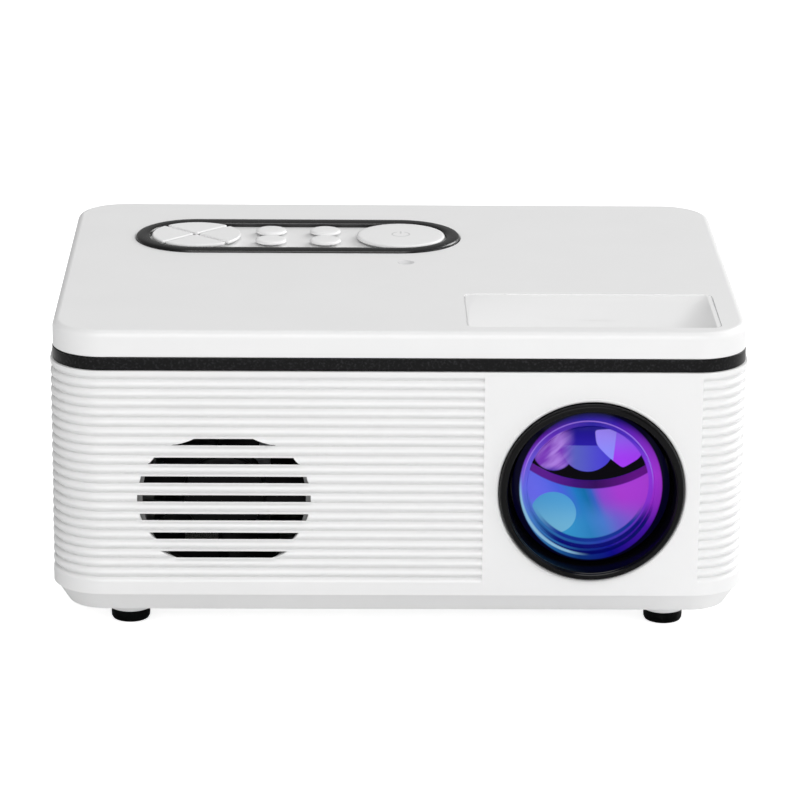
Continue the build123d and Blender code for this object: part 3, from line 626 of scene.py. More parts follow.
def rib_tree() -> bpy.types.NodeTree:
    """Makes the tree that sweeps a wall with rounded ribs along a plan line.

    Returns:
        The tree. The wall's section starts at its foot, goes up the outside with Steps points to a rib, over the
        top and down the inside.
    """
    sizes = dict.fromkeys(("Base", "Top", "Last crest", "Pitch", "Relief", "Wall"), "NodeSocketFloat")
    counts = dict.fromkeys(("Ribs", "Steps"), "NodeSocketInt")
    tree, given, out = new_tree("ribbed_wall", {**sizes, **counts, "Material": "NodeSocketMaterial"})
    base, top, last, pitch, relief, wall, ribs, steps = (Term(tree, given.outputs[name]) for name in (*sizes, *counts))
    # points of the section by index: the foot, then Ribs x Steps + 1 up the ribs, one at the top edge and two
    # down the inside
    around = ribs * steps
    line = add_node(tree, "GeometryNodeMeshLine", {"mode": "OFFSET"}, {"Count": around + 5.0})
    index = Term(tree, add_node(tree, "GeometryNodeInputIndex").outputs[0])
    foot, closing = index < 0.5, index > around + 3.5
    above, inner = index > around + 1.5, index > around + 2.5
    height = (last + (index - 1.0) * pitch / steps + above).least(top)
    # distance to the nearest crest, then the depth of an elliptic bead below it, steep at its root, and of
    # the flat floor between two beads
    phase = (height - last) / pitch
    off = (phase.calc("PINGPONG", phase, 0.5) / BEAD_HALF).least(1.0) * BEAD_ARC
    fall = 1.0 - (1.0 - off * off).root()
    depth = fall * (relief / (1.0 - math.sqrt(1.0 - BEAD_ARC ** 2)))
    depth = depth * (1.0 - foot - above) + inner * wall
    low = foot.most(closing)
    height = height * (1.0 - low) + base * low
    place = add_node(tree, "ShaderNodeCombineXYZ", None, {0: depth * -1.0, 1: height * -1.0})
    placed = add_node(tree, "GeometryNodeSetPosition", None, {
        "Geometry": line.outputs[0], "Position": place.outputs[0]})
    profile = add_node(tree, "GeometryNodeMeshToCurve", None, {0: placed.outputs[0]})
    closed = add_node(tree, "GeometryNodeSetSplineCyclic", None, {"Geometry": profile.outputs[0], "Cyclic": True})
    rail = add_node(tree, "GeometryNodeMeshToCurve", None, {0: given.outputs["Geometry"]})
    upright = add_node(tree, "GeometryNodeSetCurveNormal", {"mode": "Z_UP"}, {0: rail.outputs[0]})
    swept = add_node(tree, "GeometryNodeCurveToMesh", None, {
        "Curve": upright.outputs[0], "Profile Curve": closed.outputs[0], "Fill Caps": True})
    finish_tree(tree, swept.outputs[0], given.outputs["Material"], out)
    return tree


def copies_tree() -> bpy.types.NodeTree:
    """Makes the tree that puts a copy of a pattern on each point, each turned further about Y than the last.

    Returns:
        The tree.
    """
    tree, given, out = new_tree("copies", {"Pattern": "NodeSocketObject", "Turn": "NodeSocketFloat",
                                           "Material": "NodeSocketMaterial"})
    pattern = add_node(tree, "GeometryNodeObjectInfo", None, {"Object": given.outputs["Pattern"]})
    index = Term(tree, add_node(tree, "GeometryNodeInputIndex").outputs[0])
    turns = add_node(tree, "ShaderNodeCombineXYZ", None, {1: index * given.outputs["Turn"]})
    placed = add_node(tree, "GeometryNodeInstanceOnPoints", None, {
        "Points": given.outputs["Geometry"], "Instance": pattern.outputs["Geometry"], "Rotation": turns.outputs[0]})
    finish_tree(tree, placed.outputs[0], given.outputs["Material"], out)
    return tree


def copies(name: str, tree: bpy.types.NodeTree, pattern: bpy.types.Object, places: list[Point],
           material: bpy.types.Material, turn: float = 0.0) -> bpy.types.Object:
    """Repeats a pattern and removes the pattern.

    Args:
        name: Name of the new piece.
        tree: The tree that makes copies.
        pattern: The piece to repeat, made about the origin.
        places: Where the copies stand, in millimetres.
        material: Their material.
        turn: Angle in radians from each copy to the next, about Y.

    Returns:
        The new piece.
    """
    piece = grow(name, tree, places, [], {"Pattern": pattern, "Turn": turn, "Material": material})
    bpy.data.objects.remove(pattern)
    return smooth(piece)


# ---------------------------------------------------------------- finishes


@dataclass(frozen=True)
class Moulded:
    """Moulded plastic, rubber or paper: a fine grain from the mould and slow changes of shade."""

    name: str
    colour: str
    shade: str
    roughness: float
    grain_mm: float = 0.6
    relief_mm: float = 0.004
    specular: float = 0.5
    ior: float = 1.5
    transmission: float = 0.0
    speck: str = ""

    def build(self) -> bpy.types.Material:
        """Makes the material.

        Returns:
            A material with grain, soft shade changes and uneven gloss.
        """
        material, tree, shader, where = new_material(self.name)
        colour = mixed(tree, noise(tree, where, 60.0), self.colour, self.shade)
        fine = noise(tree, where, 1.0 / (self.grain_mm * MM), 3.0)
        if self.speck:
            bright = add_node(tree, "ShaderNodeMapRange", None, {"Value": fine, "From Min": 0.52, "From Max": 0.75})
            colour = mixed(tree, bright.outputs[0], colour, self.speck)
        dress(tree, colour, fine, (self.roughness * 0.85, self.roughness * 1.15), 0.5, self.relief_mm)
        shader.inputs["IOR"].default_value = self.ior
        shader.inputs["Specular IOR Level"].default_value = self.specular
        shader.inputs["Transmission Weight"].default_value = self.transmission
        return material


@dataclass(frozen=True)
class Metal:
    """Plated, drawn or extruded metal: fine lines along one direction."""

    name: str
    colour: str
    shade: str
    roughness: float
    line_mm: float = 0.15
    stretch: tuple[float, float, float] = (1.0, 0.04, 1.0)
    depth_mm: float = 0.004

    def build(self) -> bpy.types.Material:
        """Makes the material.

        Returns:
            A metal with fine drawn lines and a slightly uneven shade.
        """
        material, tree, shader, where = new_material(self.name)
        along = add_node(tree, "ShaderNodeMapping", None, {"Vector": where, "Scale": self.stretch})
        lines = noise(tree, along.outputs[0], 1.0 / (self.line_mm * MM), 3.0)
        dress(tree, mixed(tree, lines, self.colour, self.shade), lines, (self.roughness * 0.7, self.roughness * 1.3),
              0.3, self.depth_mm)
        shader.inputs["Metallic"].default_value = 1.0
        return material


@dataclass(frozen=True)
class SolderMask:
    """Fibreglass board under green lacquer, with copper tracks showing through."""

    name: str = "fibreglass_solder_mask"
    mask: str = "0F5A2C"
    track: str = "2A7A44"
    pitch_mm: float = 1.6

    def build(self) -> bpy.types.Material:
        """Makes the material.

        Returns:
            A green board with a lattice of lighter tracks.
        """
        material, tree, shader, where = new_material(self.name)
        blocks = add_node(tree, "ShaderNodeTexVoronoi", {"distance": "MANHATTAN", "feature": "DISTANCE_TO_EDGE"}, {
            "Vector": where, "Scale": 1.0 / (self.pitch_mm * 3 * MM)})
        track = add_node(tree, "ShaderNodeMapRange", None, {
            "Value": blocks.outputs["Distance"], "From Min": 0.03, "From Max": 0.06, "To Min": 1.0, "To Max": 0.0})
        dress(tree, mixed(tree, track.outputs[0], self.mask, self.track), track.outputs[0], None, 0.4, 0.03)
        shader.inputs["Roughness"].default_value = 0.3
        return material


@dataclass(frozen=True)
class PrintedKey:
    """Moulded white key with a faint grey power sign printed on it."""

    x: float
    y: float
    name: str = "abs_key_printed"
    colour: str = "F4F4F4"
    ink: str = "D6D6D6"
    sign_r: float = 1.9
    line: float = 0.38
    gap_half: float = 0.75

    def build(self) -> bpy.types.Material:
        """Makes the material.

        Returns:
            White plastic with a broken ring and a bar in grey ink.
        """
        material = Moulded(self.name, self.colour, "F0F0F0", 0.34, 1.2, 0.0015).build()
        tree = material.node_tree
        shader = tree.nodes["Principled BSDF"]
        base = shader.inputs["Base Color"].links[0].from_socket
        where = add_node(tree, "ShaderNodeTexCoord").outputs["Object"]
        moved = add_node(tree, "ShaderNodeMapping", None, {
            "Vector": where, "Location": (-self.x, -self.y, 0.0), "Scale": (1 / MM, 1 / MM, 0.0)}).outputs[0]
        x, y, _ = terms(tree, moved)
        reach = Term(tree, add_node(tree, "ShaderNodeVectorMath", {"operation": "LENGTH"}, {0: moved}).outputs["Value"])
        half = self.line / 2
        ring = reach.near(self.sign_r, half) * (x.calc("ABSOLUTE", x) > self.gap_half).most(y < 0.0)
        bar = x.near(0.0, half) * y.near(self.sign_r * 0.75, self.sign_r * 0.5)
        tree.links.new(mixed(tree, ring.most(bar), base, self.ink), shader.inputs["Base Color"])
        return material


class LensDrawing:
    """Painted reflections, highlights and shade laid one over another on the front lens, in millimetres from its
    middle.
    """

    band: tuple[float, float] = (-0.6, 0.9)  # centre of the glass's outer band
    rear: tuple[float, float] = (9.3, 5.5)  # height and radius of the rear face's reflection
    soft: float = 0.12  # half the width of a soft edge

    def __init__(self, tree: bpy.types.NodeTree, where: Any, x: float, z: float) -> None:
        """Moves the object's coordinates to the middle of the lens.

        Args:
            tree: The material's tree.
            where: Socket of the object's coordinates.
            x: Place of the middle across the case.
            z: Height of the middle.
        """
        self.tree = tree
        self.moved = add_node(tree, "ShaderNodeMapping", None, {
            "Vector": where, "Location": (-x, 0.0, -z), "Scale": (1 / MM, 0.0, 1 / MM)}).outputs[0]
        self.x, _, self.z = terms(tree, self.moved)
        # painted reflection: indigo ground, darker towards the top
        self.colour = self.mix(self.span(self.z, 8.0, 14.0), "2A1AA6", "1C1288")
        # masks whose lower edges bound the painted dark reflection band and the purple edge below it
        self.above = self.disc(-0.3, 24.9, 22.95, self.soft)
        self.edge = self.disc(-0.2, 23.4, 23.25, 0.18)

    def span(self, value: Any, low: float, high: float, start: float = 0.0, end: float = 1.0) -> Term:
        """Soft step of a value between two limits."""
        return Term(self.tree, add_node(self.tree, "ShaderNodeMapRange", {"interpolation_type": "SMOOTHSTEP"}, {
            "Value": value, "From Min": low, "From Max": high, "To Min": start, "To Max": end}).outputs[0])

    def disc(self, cx: float, cz: float, radius: float, soft: float) -> Term:
        """Mask of a disc with a soft edge, 1 inside."""
        away = add_node(self.tree, "ShaderNodeVectorMath", {"operation": "DISTANCE"}, {0: self.moved, 1: (cx, 0.0, cz)})
        return self.span(away.outputs["Value"], radius - soft, radius + soft, 1.0, 0.0)

    def facet(self, corners: Plan) -> Term:
        """Mask of a convex patch.

        Args:
            corners: Its corners, clockwise as seen from the front.

        Returns:
            The mask, 1 inside.
        """
        mask = None
        for (ax, az), (bx, bz) in zip(corners, corners[1:] + corners[:1]):
            size = math.hypot(bx - ax, bz - az)
            nx, nz = (bz - az) / size, (ax - bx) / size
            inward = (self.x - ax) * nx + (self.z - az) * nz
            mask = inward if mask is None else mask.calc("SMOOTH_MIN", mask, inward, 1.0)
        return self.span(mask, -self.soft, self.soft)

    def mix(self, factor: Any, below: Any, above: Any) -> Any:
        """Colour that goes from one to the other; hex values or sockets."""
        return mixed(self.tree, factor, below, above)

    def ramp(self, factor: Any, stops: list[tuple[float, str]]) -> Any:
        """Adds a colour ramp.

        Args:
            factor: Place on the ramp, from 0 to 1.
            stops: Places and hex colours, in order.

        Returns:
            Socket of the colour.
        """
        node = add_node(self.tree, "ShaderNodeValToRGB", None, {0: factor})
        while len(node.color_ramp.elements) < len(stops):
            node.color_ramp.elements.new(0.5)
        for element, (place, colour) in zip(node.color_ramp.elements, stops):
            element.position = place
            element.color = linear(colour)
        return node.outputs[0]

    def lay(self, mask: Term, colour: Any) -> None:
        """Lays a colour over what is there, where the mask is 1."""
        self.colour = self.mix(mask, self.colour, colour)

    def upper_half(self) -> None:
        """Paints the upper half: painted reflections of the rear faces, a painted veil and highlight, and a black band
        painted as a dark reflection.
        """
        x, z, span, disc, mix = self.x, self.z, self.span, self.disc, self.mix
        # painted reflection of a rear face: a lighter blue patch
        self.lay(disc(-0.8, *self.rear, 0.2) * span(z, 9.4, 9.1), mix(span(x, -5.0, 3.5), "5A62BE", "4A40D2"))
        # painted reflection at the left: a veil of light, drawn out along a slant
        turned_by = add_node(self.tree, "ShaderNodeMapping", None, {
            "Vector": self.moved, "Rotation": (0.0, math.radians(40), 0.0)})
        drawn = add_node(self.tree, "ShaderNodeMapping", None, {
            "Vector": turned_by.outputs[0], "Scale": (0.14, 0.0, 0.7)})
        veil = add_node(self.tree, "ShaderNodeTexNoise", None, {
            "Vector": drawn.outputs[0], "Scale": 1.1, "Detail": 1.5, "Distortion": 0.4}).outputs["Fac"]
        self.lay(disc(-6.9, 7.6, 5.4, 1.3) * span(x, -3.0, -7.0) * span(z, 3.4, 5.2),
                 mix(span(veil, 0.3, 0.7), "7A38BC", "B084E4"))
        # painted highlight at the right: a lamp's reflection, in two panes
        window = self.facet([(0.54, 12.45), (5.18, 12.75), (8.4, 11.6), (10.25, 9.3), (10.6, 8.0), (9.9, 6.5),
                             (6.38, 4.49), (3.59, 6.49), (0.85, 9.5)])
        split = (z - 7.3) * -0.11 + (x - 4.42)
        self.lay(window, mix(span(split, -0.1, 0.15), mix(span(z, 12.5, 7.0), "9A84F6", "8C8CFA"),
                             mix(span(z, 12.0, 6.0), "8E60F0", "A23CF2")))
        # painted dark reflection: a black band across the middle
        dark_reflection_band = (self.above * (1.0 - disc(-0.9, *self.rear, self.soft)) * (1.0 - disc(-7.9, 8.1, 4.2, 0.2))
                 * (1.0 - window) * span(z, 9.2, 6.2))
        self.lay(dark_reflection_band, "030108")

    def lower_half(self) -> None:
        """Paints the lower half: painted reflections of a bright rear face, a painted highlight at the lower left, and
        the purple edge between the halves.
        """
        x, z, span, disc, mix = self.x, self.z, self.span, self.disc, self.mix
        slant = span(x + (z + 0.5) * 0.4, -13.0, 13.0)
        low = self.ramp(slant, [
            (0.0, "6A6CF0"), (0.16, "4A62E0"), (0.32, "1E78C0"), (0.42, "0F6CA6"), (0.5, "3560C0"), (0.6, "8A46CC"),
            (0.8, "A63CD0"), (1.0, "A83CD6")])
        deep = self.ramp(slant, [
            (0.0, "3AA0D8"), (0.3, "2E84C4"), (0.5, "4A7CD0"), (0.68, "6E62D2"), (1.0, "9A48D6")])
        low = mix(span(z, -1.5, -7.5), low, deep)
        # painted highlight at the lower left
        light = disc(-7.6, -5.3, 4.6, self.soft) * disc(-2.6, -2.9, 9.4, self.soft)
        low = mix(light, low, mix(span(z, -1.0, -9.5), "4C9CD4", "72B8DC"))
        self.lay(self.edge * (1.0 - self.above), self.ramp(span(x, -12, 12), [
            (0.0, "5E1E92"), (0.3, "3E1074"), (0.55, "340C5A"), (1.0, "600F84")]))
        self.lay(1.0 - self.edge.most(self.above), low)

    def bands(self) -> None:
        """Paints the outer bands of the glass and the rings of the rear faces, one inside the other, as painted
        reflections that change colour round the lens.
        """
        x, z, span, disc = self.x, self.z, self.span, self.disc
        # turn round the lens as a share: 0 at the left, 0.25 at the bottom, 0.5 right, 0.75 top
        turn = (z.calc("ARCTAN2", z, x) + math.pi) / (2 * math.pi)
        inner = self.ramp(turn, [
            (0.0, "6A70F0"), (0.1, "3478BC"), (0.2, "1E5CA8"), (0.28, "2840B4"), (0.38, "5A30C4"), (0.46, "8A30D4"),
            (0.54, "9438E4"), (0.64, "6038D8"), (0.75, "3024B4"), (0.86, "6A34CC"), (1.0, "6A70F0")])
        self.lay(1.0 - disc(*self.band, 12.4, 0.15), inner)
        outer = self.ramp(turn, [
            (0.0, "7A80F6"), (0.08, "4A86D8"), (0.16, "2E74BC"), (0.23, "123C8C"), (0.3, "14129A"), (0.4, "4E18B4"),
            (0.46, "962CD0"), (0.53, "AC38DE"), (0.62, "8C30D8"), (0.7, "4826CC"), (0.78, "3420C6"), (0.88, "7A2AC8"),
            (0.94, "864EE4"), (1.0, "7A80F6")])
        self.lay(1.0 - disc(*self.band, 13.45, 0.15), outer)
        # painted reflections: dark rings in the lower left
        for centre_z, radius, width, tone in ((0.7, 11.85, 0.55, "14349A"), (-0.1, 12.5, 0.7, "080C78"),
                                              (-0.9, 13.2, 0.6, "060A70")):
            arc = (disc(-0.5, centre_z, radius + width, 0.16) * (1.0 - disc(-0.5, centre_z + 0.3, radius, 0.2))
                   * span(z, -2.5, -8.0) * span(x, -13.0, -6.0))
            self.lay(arc, tone)

    def lines(self) -> None:
        """Paints a bright ring line as a painted highlight, and a painted highlight streak at the left."""
        x, z, span, disc = self.x, self.z, self.span, self.disc
        line = disc(*self.band, 13.45, 0.1) * (1.0 - disc(*self.band, 13.2, self.soft))
        # painted highlight: the bright line, on the upper part
        self.lay(line * span(z, -1.0, 6.0), "A87CF8")
        # painted highlight: a pale blue streak at the left
        streak = (disc(0.0, 0.0, 14.9, 0.15) * (1.0 - disc(0.45, 0.3, 14.75, 0.2)) * span(x, 0.5, -5.0)
                  * span(z, 3.0, -2.0))
        self.lay(streak, "9AD0F2")

    def rim(self) -> None:
        """Paints shade on the rim: darker towards the top edge, and black outside an upright oval, where the ring
        shades the glass.
        """
        x, z = self.x, self.z
        reach = add_node(self.tree, "ShaderNodeVectorMath", {"operation": "LENGTH"}, {0: self.moved}).outputs["Value"]
        # painted shade: the rim darker towards the top
        self.lay(self.span(reach, 14.2, 15.9) * self.span(z, 4.0, 13.5), "120E66")
        # painted shade: black outside an upright oval
        self.lay(self.span((x * x * 1.17 + z * z).root(), 15.65, 16.05), "060424")


@dataclass(frozen=True)
class CoatedGlass:
    """Large front lens with a many-layered coating.

    Its colours are painted reflections of the stacked coated faces behind it, in blue, violet and magenta;
    brighter patches are painted highlights where lamps reflect, and a black band is a painted dark reflection.
    """

    x: float
    z: float
    name: str = "coated_lens_painted_reflections"

    def build(self) -> bpy.types.Material:
        """Makes the material.

        Returns:
            Coated glass, with painted reflections, highlights and shade by place on the lens.
        """
        material, tree, shader, where = new_material(self.name)
        drawing = LensDrawing(tree, where, self.x, self.z)
        for layer in (drawing.upper_half, drawing.lower_half, drawing.bands, drawing.lines, drawing.rim):
            layer()
        tree.links.new(drawing.colour, shader.inputs["Base Color"])
        # anti-reflection coating: weak mirror, very smooth
        shader.inputs["Roughness"].default_value = 0.08
        shader.inputs["Specular IOR Level"].default_value = 0.05
        shader.inputs["IOR"].default_value = 1.5
        return material


class Finishes:
    """All materials of the projector, made once."""

    def __init__(self) -> None:
        """Makes the materials and the finish of each record slot."""
        # ABS moulded in a polished tool: bright white, soft gloss, faint orange peel
        self.case = Moulded("abs_white_satin", "F2F2F2", "EEEEEE", 0.34, 1.1, 0.006).build()
        self.keys = Moulded("abs_white_key", "F4F4F4", "F0F0F0", 0.34, 1.2, 0.0015).build()
        # ABS moulded black with a fine spark-eroded grain
        self.trim = Moulded("abs_black_fine_grain", "050506", "09090A", 0.3, 0.45, 0.01, 0.17, speck="2C2C2E").build()
        # the same plastic, glossier where the panel ring is polished
        self.panel_ring = Moulded("abs_black_polished_edge", "050506", "0A0A0B", 0.26, 0.5, 0.006, 0.45).build()
        self.lens_plastic = Moulded("abs_black_satin", "020203", "050506", 0.17, 0.8, 0.002, 0.16).build()
        self.inner_plastic = Moulded("abs_black_matt", "19191B", "222224", 0.55, 0.4, 0.01, 0.3).build()
        self.fan_plastic = Moulded("pbt_black", "0E0E0F", "151516", 0.5, 0.5, 0.01, 0.15).build()
        self.rubber = Moulded("silicone_rubber_gloss", "020202", "040404", 0.35, 0.7, 0.003, 0.06).build()
        # remote control window: milky and smooth
        self.window = Moulded("polycarbonate_milky", "D6D6D7", "DCDCDD", 0.3, 0.8, 0.002, 0.3).build()
        # soft grey foam between the grille and the fan
        self.foam = Moulded("polyurethane_foam", "8E8E8E", "A6A6A6", 0.9, 0.3, 0.06, 0.1).build()
        self.paper = Moulded("pressed_paper", "1C1B1A", "2A2826", 0.85, 0.3, 0.03, 0.2).build()
        self.clear = Moulded("float_glass", "EAF4F1", "E4F0EE", 0.04, 2.0, 0.001, 0.5, 1.45,
                             transmission=0.9).build()
        self.lcd = Moulded("liquid_crystal_pane", "15181C", "1B1F24", 0.08, 1.5, 0.001).build()
        self.phosphor = Moulded("cast_yellow_phosphor", "E8C838", "D8B420", 0.6, 0.2, 0.01).build()
        self.mirror = Metal("silvered_glass", "E2E4E8", "DADDE2", 0.04, 3.0, (1.0, 1.0, 1.0)).build()
        self.aluminium = Metal("extruded_aluminium", "C4C6CA", "AEB0B5", 0.35).build()
        self.steel = Metal("nickel_plated_steel", "C9C7C2", "B4B2AE", 0.28).build()
        self.gilt = Metal("gold_plated_contact", "D8B25A", "C49C48", 0.25).build()
        self.brass = Metal("turned_brass", "C8A050", "B48C40", 0.3, 0.12, (1.0, 1.0, 0.05)).build()
        self.board = SolderMask().build()
        self.of_slot = {
            Slot.CASE: self.case, Slot.KEYS: self.keys, Slot.TRIM: self.trim, Slot.LENS_PLASTIC: self.lens_plastic,
            Slot.INNER_PLASTIC: self.inner_plastic, Slot.LENS_GLASS: self.clear, Slot.CLEAR: self.clear,
            Slot.LCD: self.lcd, Slot.WINDOW: self.window, Slot.MIRROR: self.mirror, Slot.ALUMINIUM: self.aluminium,
            Slot.BOARD: self.board, Slot.STEEL: self.steel, Slot.PHOSPHOR: self.phosphor, Slot.BRASS: self.brass,
            Slot.RUBBER: self.rubber, Slot.PAPER: self.paper}

    def dress_nodes(self) -> None:
        """Gives every CAD node the finish of its slot."""
        slots = {row["node"]: Slot(row["material_slot"]) for row in frame["record"]["subparts"]}
        for name, node in frame["nodes"].items():
            node.data.materials.clear()
            special = self.fan_plastic if name in ("fan_frame", "fan_rotor") else None
            node.data.materials.append(special or self.of_slot[slots[name]])


def settle(piece: bpy.types.Object, body: str, slot: Slot, material: bpy.types.Material | None,
           *nodes: str) -> bpy.types.Object:
    """Gives a finished piece its material and body, and hides the CAD nodes that it stands for.

    Args:
        piece: The piece.
        body: The CAD body that it moves with.
        slot: The record's finish; not used.
        material: Its material, or None to keep what the piece has.
        *nodes: CAD nodes that it replaces.

    Returns:
        The piece.
    """
    if material is not None:
        piece.data.materials.clear()
        piece.data.materials.append(material)
    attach(piece, body)
    if nodes:
        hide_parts(*nodes)
    log.info("%s on %s, %d faces", piece.name, body, len(piece.data.polygons))
    return piece


# ---------------------------------------------------------------- the case


@dataclass
class Case:
    """Sizes that all parts of the case share, in millimetres."""

    width: float = 143.0
    depth: float = 105.0
    top_z: float = 65.5
    corner: float = 11.0
    wall: float = 2.0
    crease_z: float = 9.3
    band_low_z: float = 57.3
    band_top_z: float = 60.1
    ceiling_z: float = 63.5
    floor_z: float = 7.0
    low_z: float = 5.0
    column_x: float = 64.0
    column_y: float = 36.0
    column_side: float = 7.2
    column_z: tuple[float, float] = (11.0, 45.0)

    def outline(self, inset: float, arc: int = 24) -> Plan:
        """Plan outline of the case, moved in by inset."""
        x, y = self.width / 2 - inset, self.depth / 2 - inset
        return rounded(-x, x, -y, y, self.corner - inset, arc)


@dataclass
class RibbedHousing:
    """Lower side walls: rounded ribs, flat lens panel, round grille, intake slots and socket windows."""

    case: Case
    ribs: int = 22
    pitch: float = 2.02
    first_groove_z: float = 55.4
    relief: float = 0.95
    steps: int = 18
    panel_x1: float = 17.2
    panel_x2: float = 61.6
    plain_y: float = 38.5
    lens_x: float = 39.4
    lens_z: float = 31.9
    lens_hole_r: float = 19.12
    lens_rim: float = 0.8
    grille_x: float = -35.8
    grille_first: float = 6.5
    # half widths of each grille slot, at its upper and its lower edge
    grille_halves: tuple = ((6.0, 10.7), (14.2, 15.5), (16.9, 17.3), (17.75, 17.75), (17.3, 16.8), (15.35, 14.0),
                            (13.1, 9.8))
    slot_h: float = 1.6
    slot_drop: float = 0.18
    grille_pocket_r: float = 18.6
    thin_wall: float = 1.0
    vents: int = 4
    vent_y: tuple[float, float] = (-11.0, 27.0)
    cut_out: float = 1.0
    cut_in: float = 4.0
    # place across the case, width and height of each socket
    sockets: tuple = ((-20.0, 15.0, 5.6), (0.0, 13.2, 5.9), (18.0, 7.0, 7.0), (35.0, 14.0, 2.4), (-40.0, 9.0, 10.5))
    socket_z: float = 14.6
    socket_gap: float = 0.4

    def groove(self, index: float) -> float:
        """Height of a groove, counted from the top."""
        return self.first_groove_z - self.pitch * index

    def rails(self) -> dict[str, Plan]:
        """Lays out the four runs of wall.

        Returns:
            Their plan lines, counter-clockwise.
        """
        case = self.case
        x, y = case.width / 2, case.depth / 2
        cx, cy, r = x - case.corner, y - case.corner, case.corner
        split = math.degrees(math.acos((self.panel_x2 - cx) / r))
        return {
            "left": [(-x, self.plain_y)] + arc_points(-cx, -cy, r, 180, 270, 28) + [(self.panel_x1, -y)],
            "panel": [(self.panel_x1, -y)] + arc_points(cx, -cy, r, -90, -split, 4),
            "right": arc_points(cx, -cy, r, -split, 0, 26) + [(x, self.plain_y)],
            "back": ([(x, self.plain_y)] + arc_points(cx, cy, r, 0, 90, 28) + arc_points(-cx, cy, r, 90, 180, 28)
                     + [(-x, self.plain_y)]),
        }

    def slot_tools(self) -> bpy.types.Object:
        """Makes the tools that cut the grille slots and the intake slots.

        Returns:
            The tools as one piece.
        """
        y, x, half = -self.case.depth / 2, -self.case.width / 2, self.slot_h / 2
        tools = []
        for i, (high, low) in enumerate(self.grille_halves):
            z = self.groove(self.grille_first + 2 * i) - self.slot_drop
            ring = [(-low, z - half), (low, z - half), (high, z + half), (-high, z + half)]
            rings = [[(self.grille_x + u, depth, v) for u, v in ring] for depth in (y - self.cut_out, y + self.cut_in)]
            tools.append(make("slot", *loft(rings)))
        for i in range(self.vents):
            z = self.groove(self.grille_first + 4 * i) - self.slot_drop
            tools.append(slab("vent", x - self.cut_out, x + self.cut_in, *self.vent_y, z - half, z + half))
        return join("slots", tools)

    def pocket_tool(self) -> bpy.types.Object:
        """Makes the tool that thins the wall behind the grille.

        Returns:
            The tool.
        """
        y = -self.case.depth / 2
        middle = self.groove(self.grille_first + len(self.grille_halves) - 1) - self.slot_drop
        pocket = [(0.0, y + self.thin_wall), (self.grille_pocket_r, y + self.thin_wall),
                  (self.grille_pocket_r, y + self.case.wall + 0.5), (0.0, y + self.case.wall + 0.5)]
        return turned("pocket", pocket, (self.grille_x, 0, middle), ring=False)

    def build(self, tree: bpy.types.NodeTree, finishes: Finishes) -> None:
        """Sweeps the four runs of wall, cuts them and joins them.

        Args:
            tree: The tree that sweeps a ribbed wall.
            finishes: The materials.
        """
        case = self.case
        runs = {}
        for name, rail in self.rails().items():
            ribbed = name in ("left", "right")
            values = {"Base": case.crease_z * MM, "Top": case.band_low_z * MM, "Pitch": self.pitch * MM,
                      "Last crest": (self.groove(self.ribs - 1) - self.pitch / 2) * MM,
                      "Relief": (self.relief if ribbed else 0.0) * MM, "Wall": case.wall * MM,
                      "Ribs": self.ribs, "Steps": self.steps if ribbed else 1, "Material": finishes.case}
            edges = [(i, i + 1) for i in range(len(rail) - 1)]
            runs[name] = grow(name, tree, at(rail, 0.0), edges, values)
            close_up(runs[name].data)
        carve(runs["left"], self.pocket_tool())
        carve(runs["left"], self.slot_tools())
        y = -case.depth / 2
        r, rim = self.lens_hole_r, self.lens_hole_r + self.lens_rim
        centre = (self.lens_x, 0, self.lens_z)
        hole = [(r + 0.3, y - self.cut_out), (r + 0.3, y + self.cut_in)]
        carve(runs["panel"], turned("hole", hole, centre, steps=128, ring=False))
        # low raised rim round the hole
        lip = [(r, y + 0.2), (r + 0.1, y + 0.02), (r + 0.25, y - 0.1), (rim - 0.3, y - 0.16), (rim - 0.12, y - 0.12),
               (rim, y + 0.1), (rim, y + 1.6), (r, y + 1.6)]
        runs["rim"] = turned("rim", lip, centre, steps=128)
        gap = self.socket_gap
        windows = [slab("window", sx - w / 2 - gap, sx + w / 2 + gap, -y - self.cut_in, -y + self.cut_out,
                        self.socket_z - gap, self.socket_z + h + gap) for sx, w, h in self.sockets]
        carve(runs["back"], join("windows", windows))
        half = case.column_side / 2
        columns = []
        for cx, cy in four(1.0, case.column_y):
            x1, x2 = sorted((cx * (case.column_x - half), cx * (case.width / 2 - case.wall / 2)))
            columns.append(slab("column", x1, x2, cy - half, cy + half, *case.column_z))
        housing = join("ribbed_housing", list(runs.values()) + columns)
        settle(smooth(housing, 40.0), "housing", Slot.CASE, finishes.case, "lower_housing")


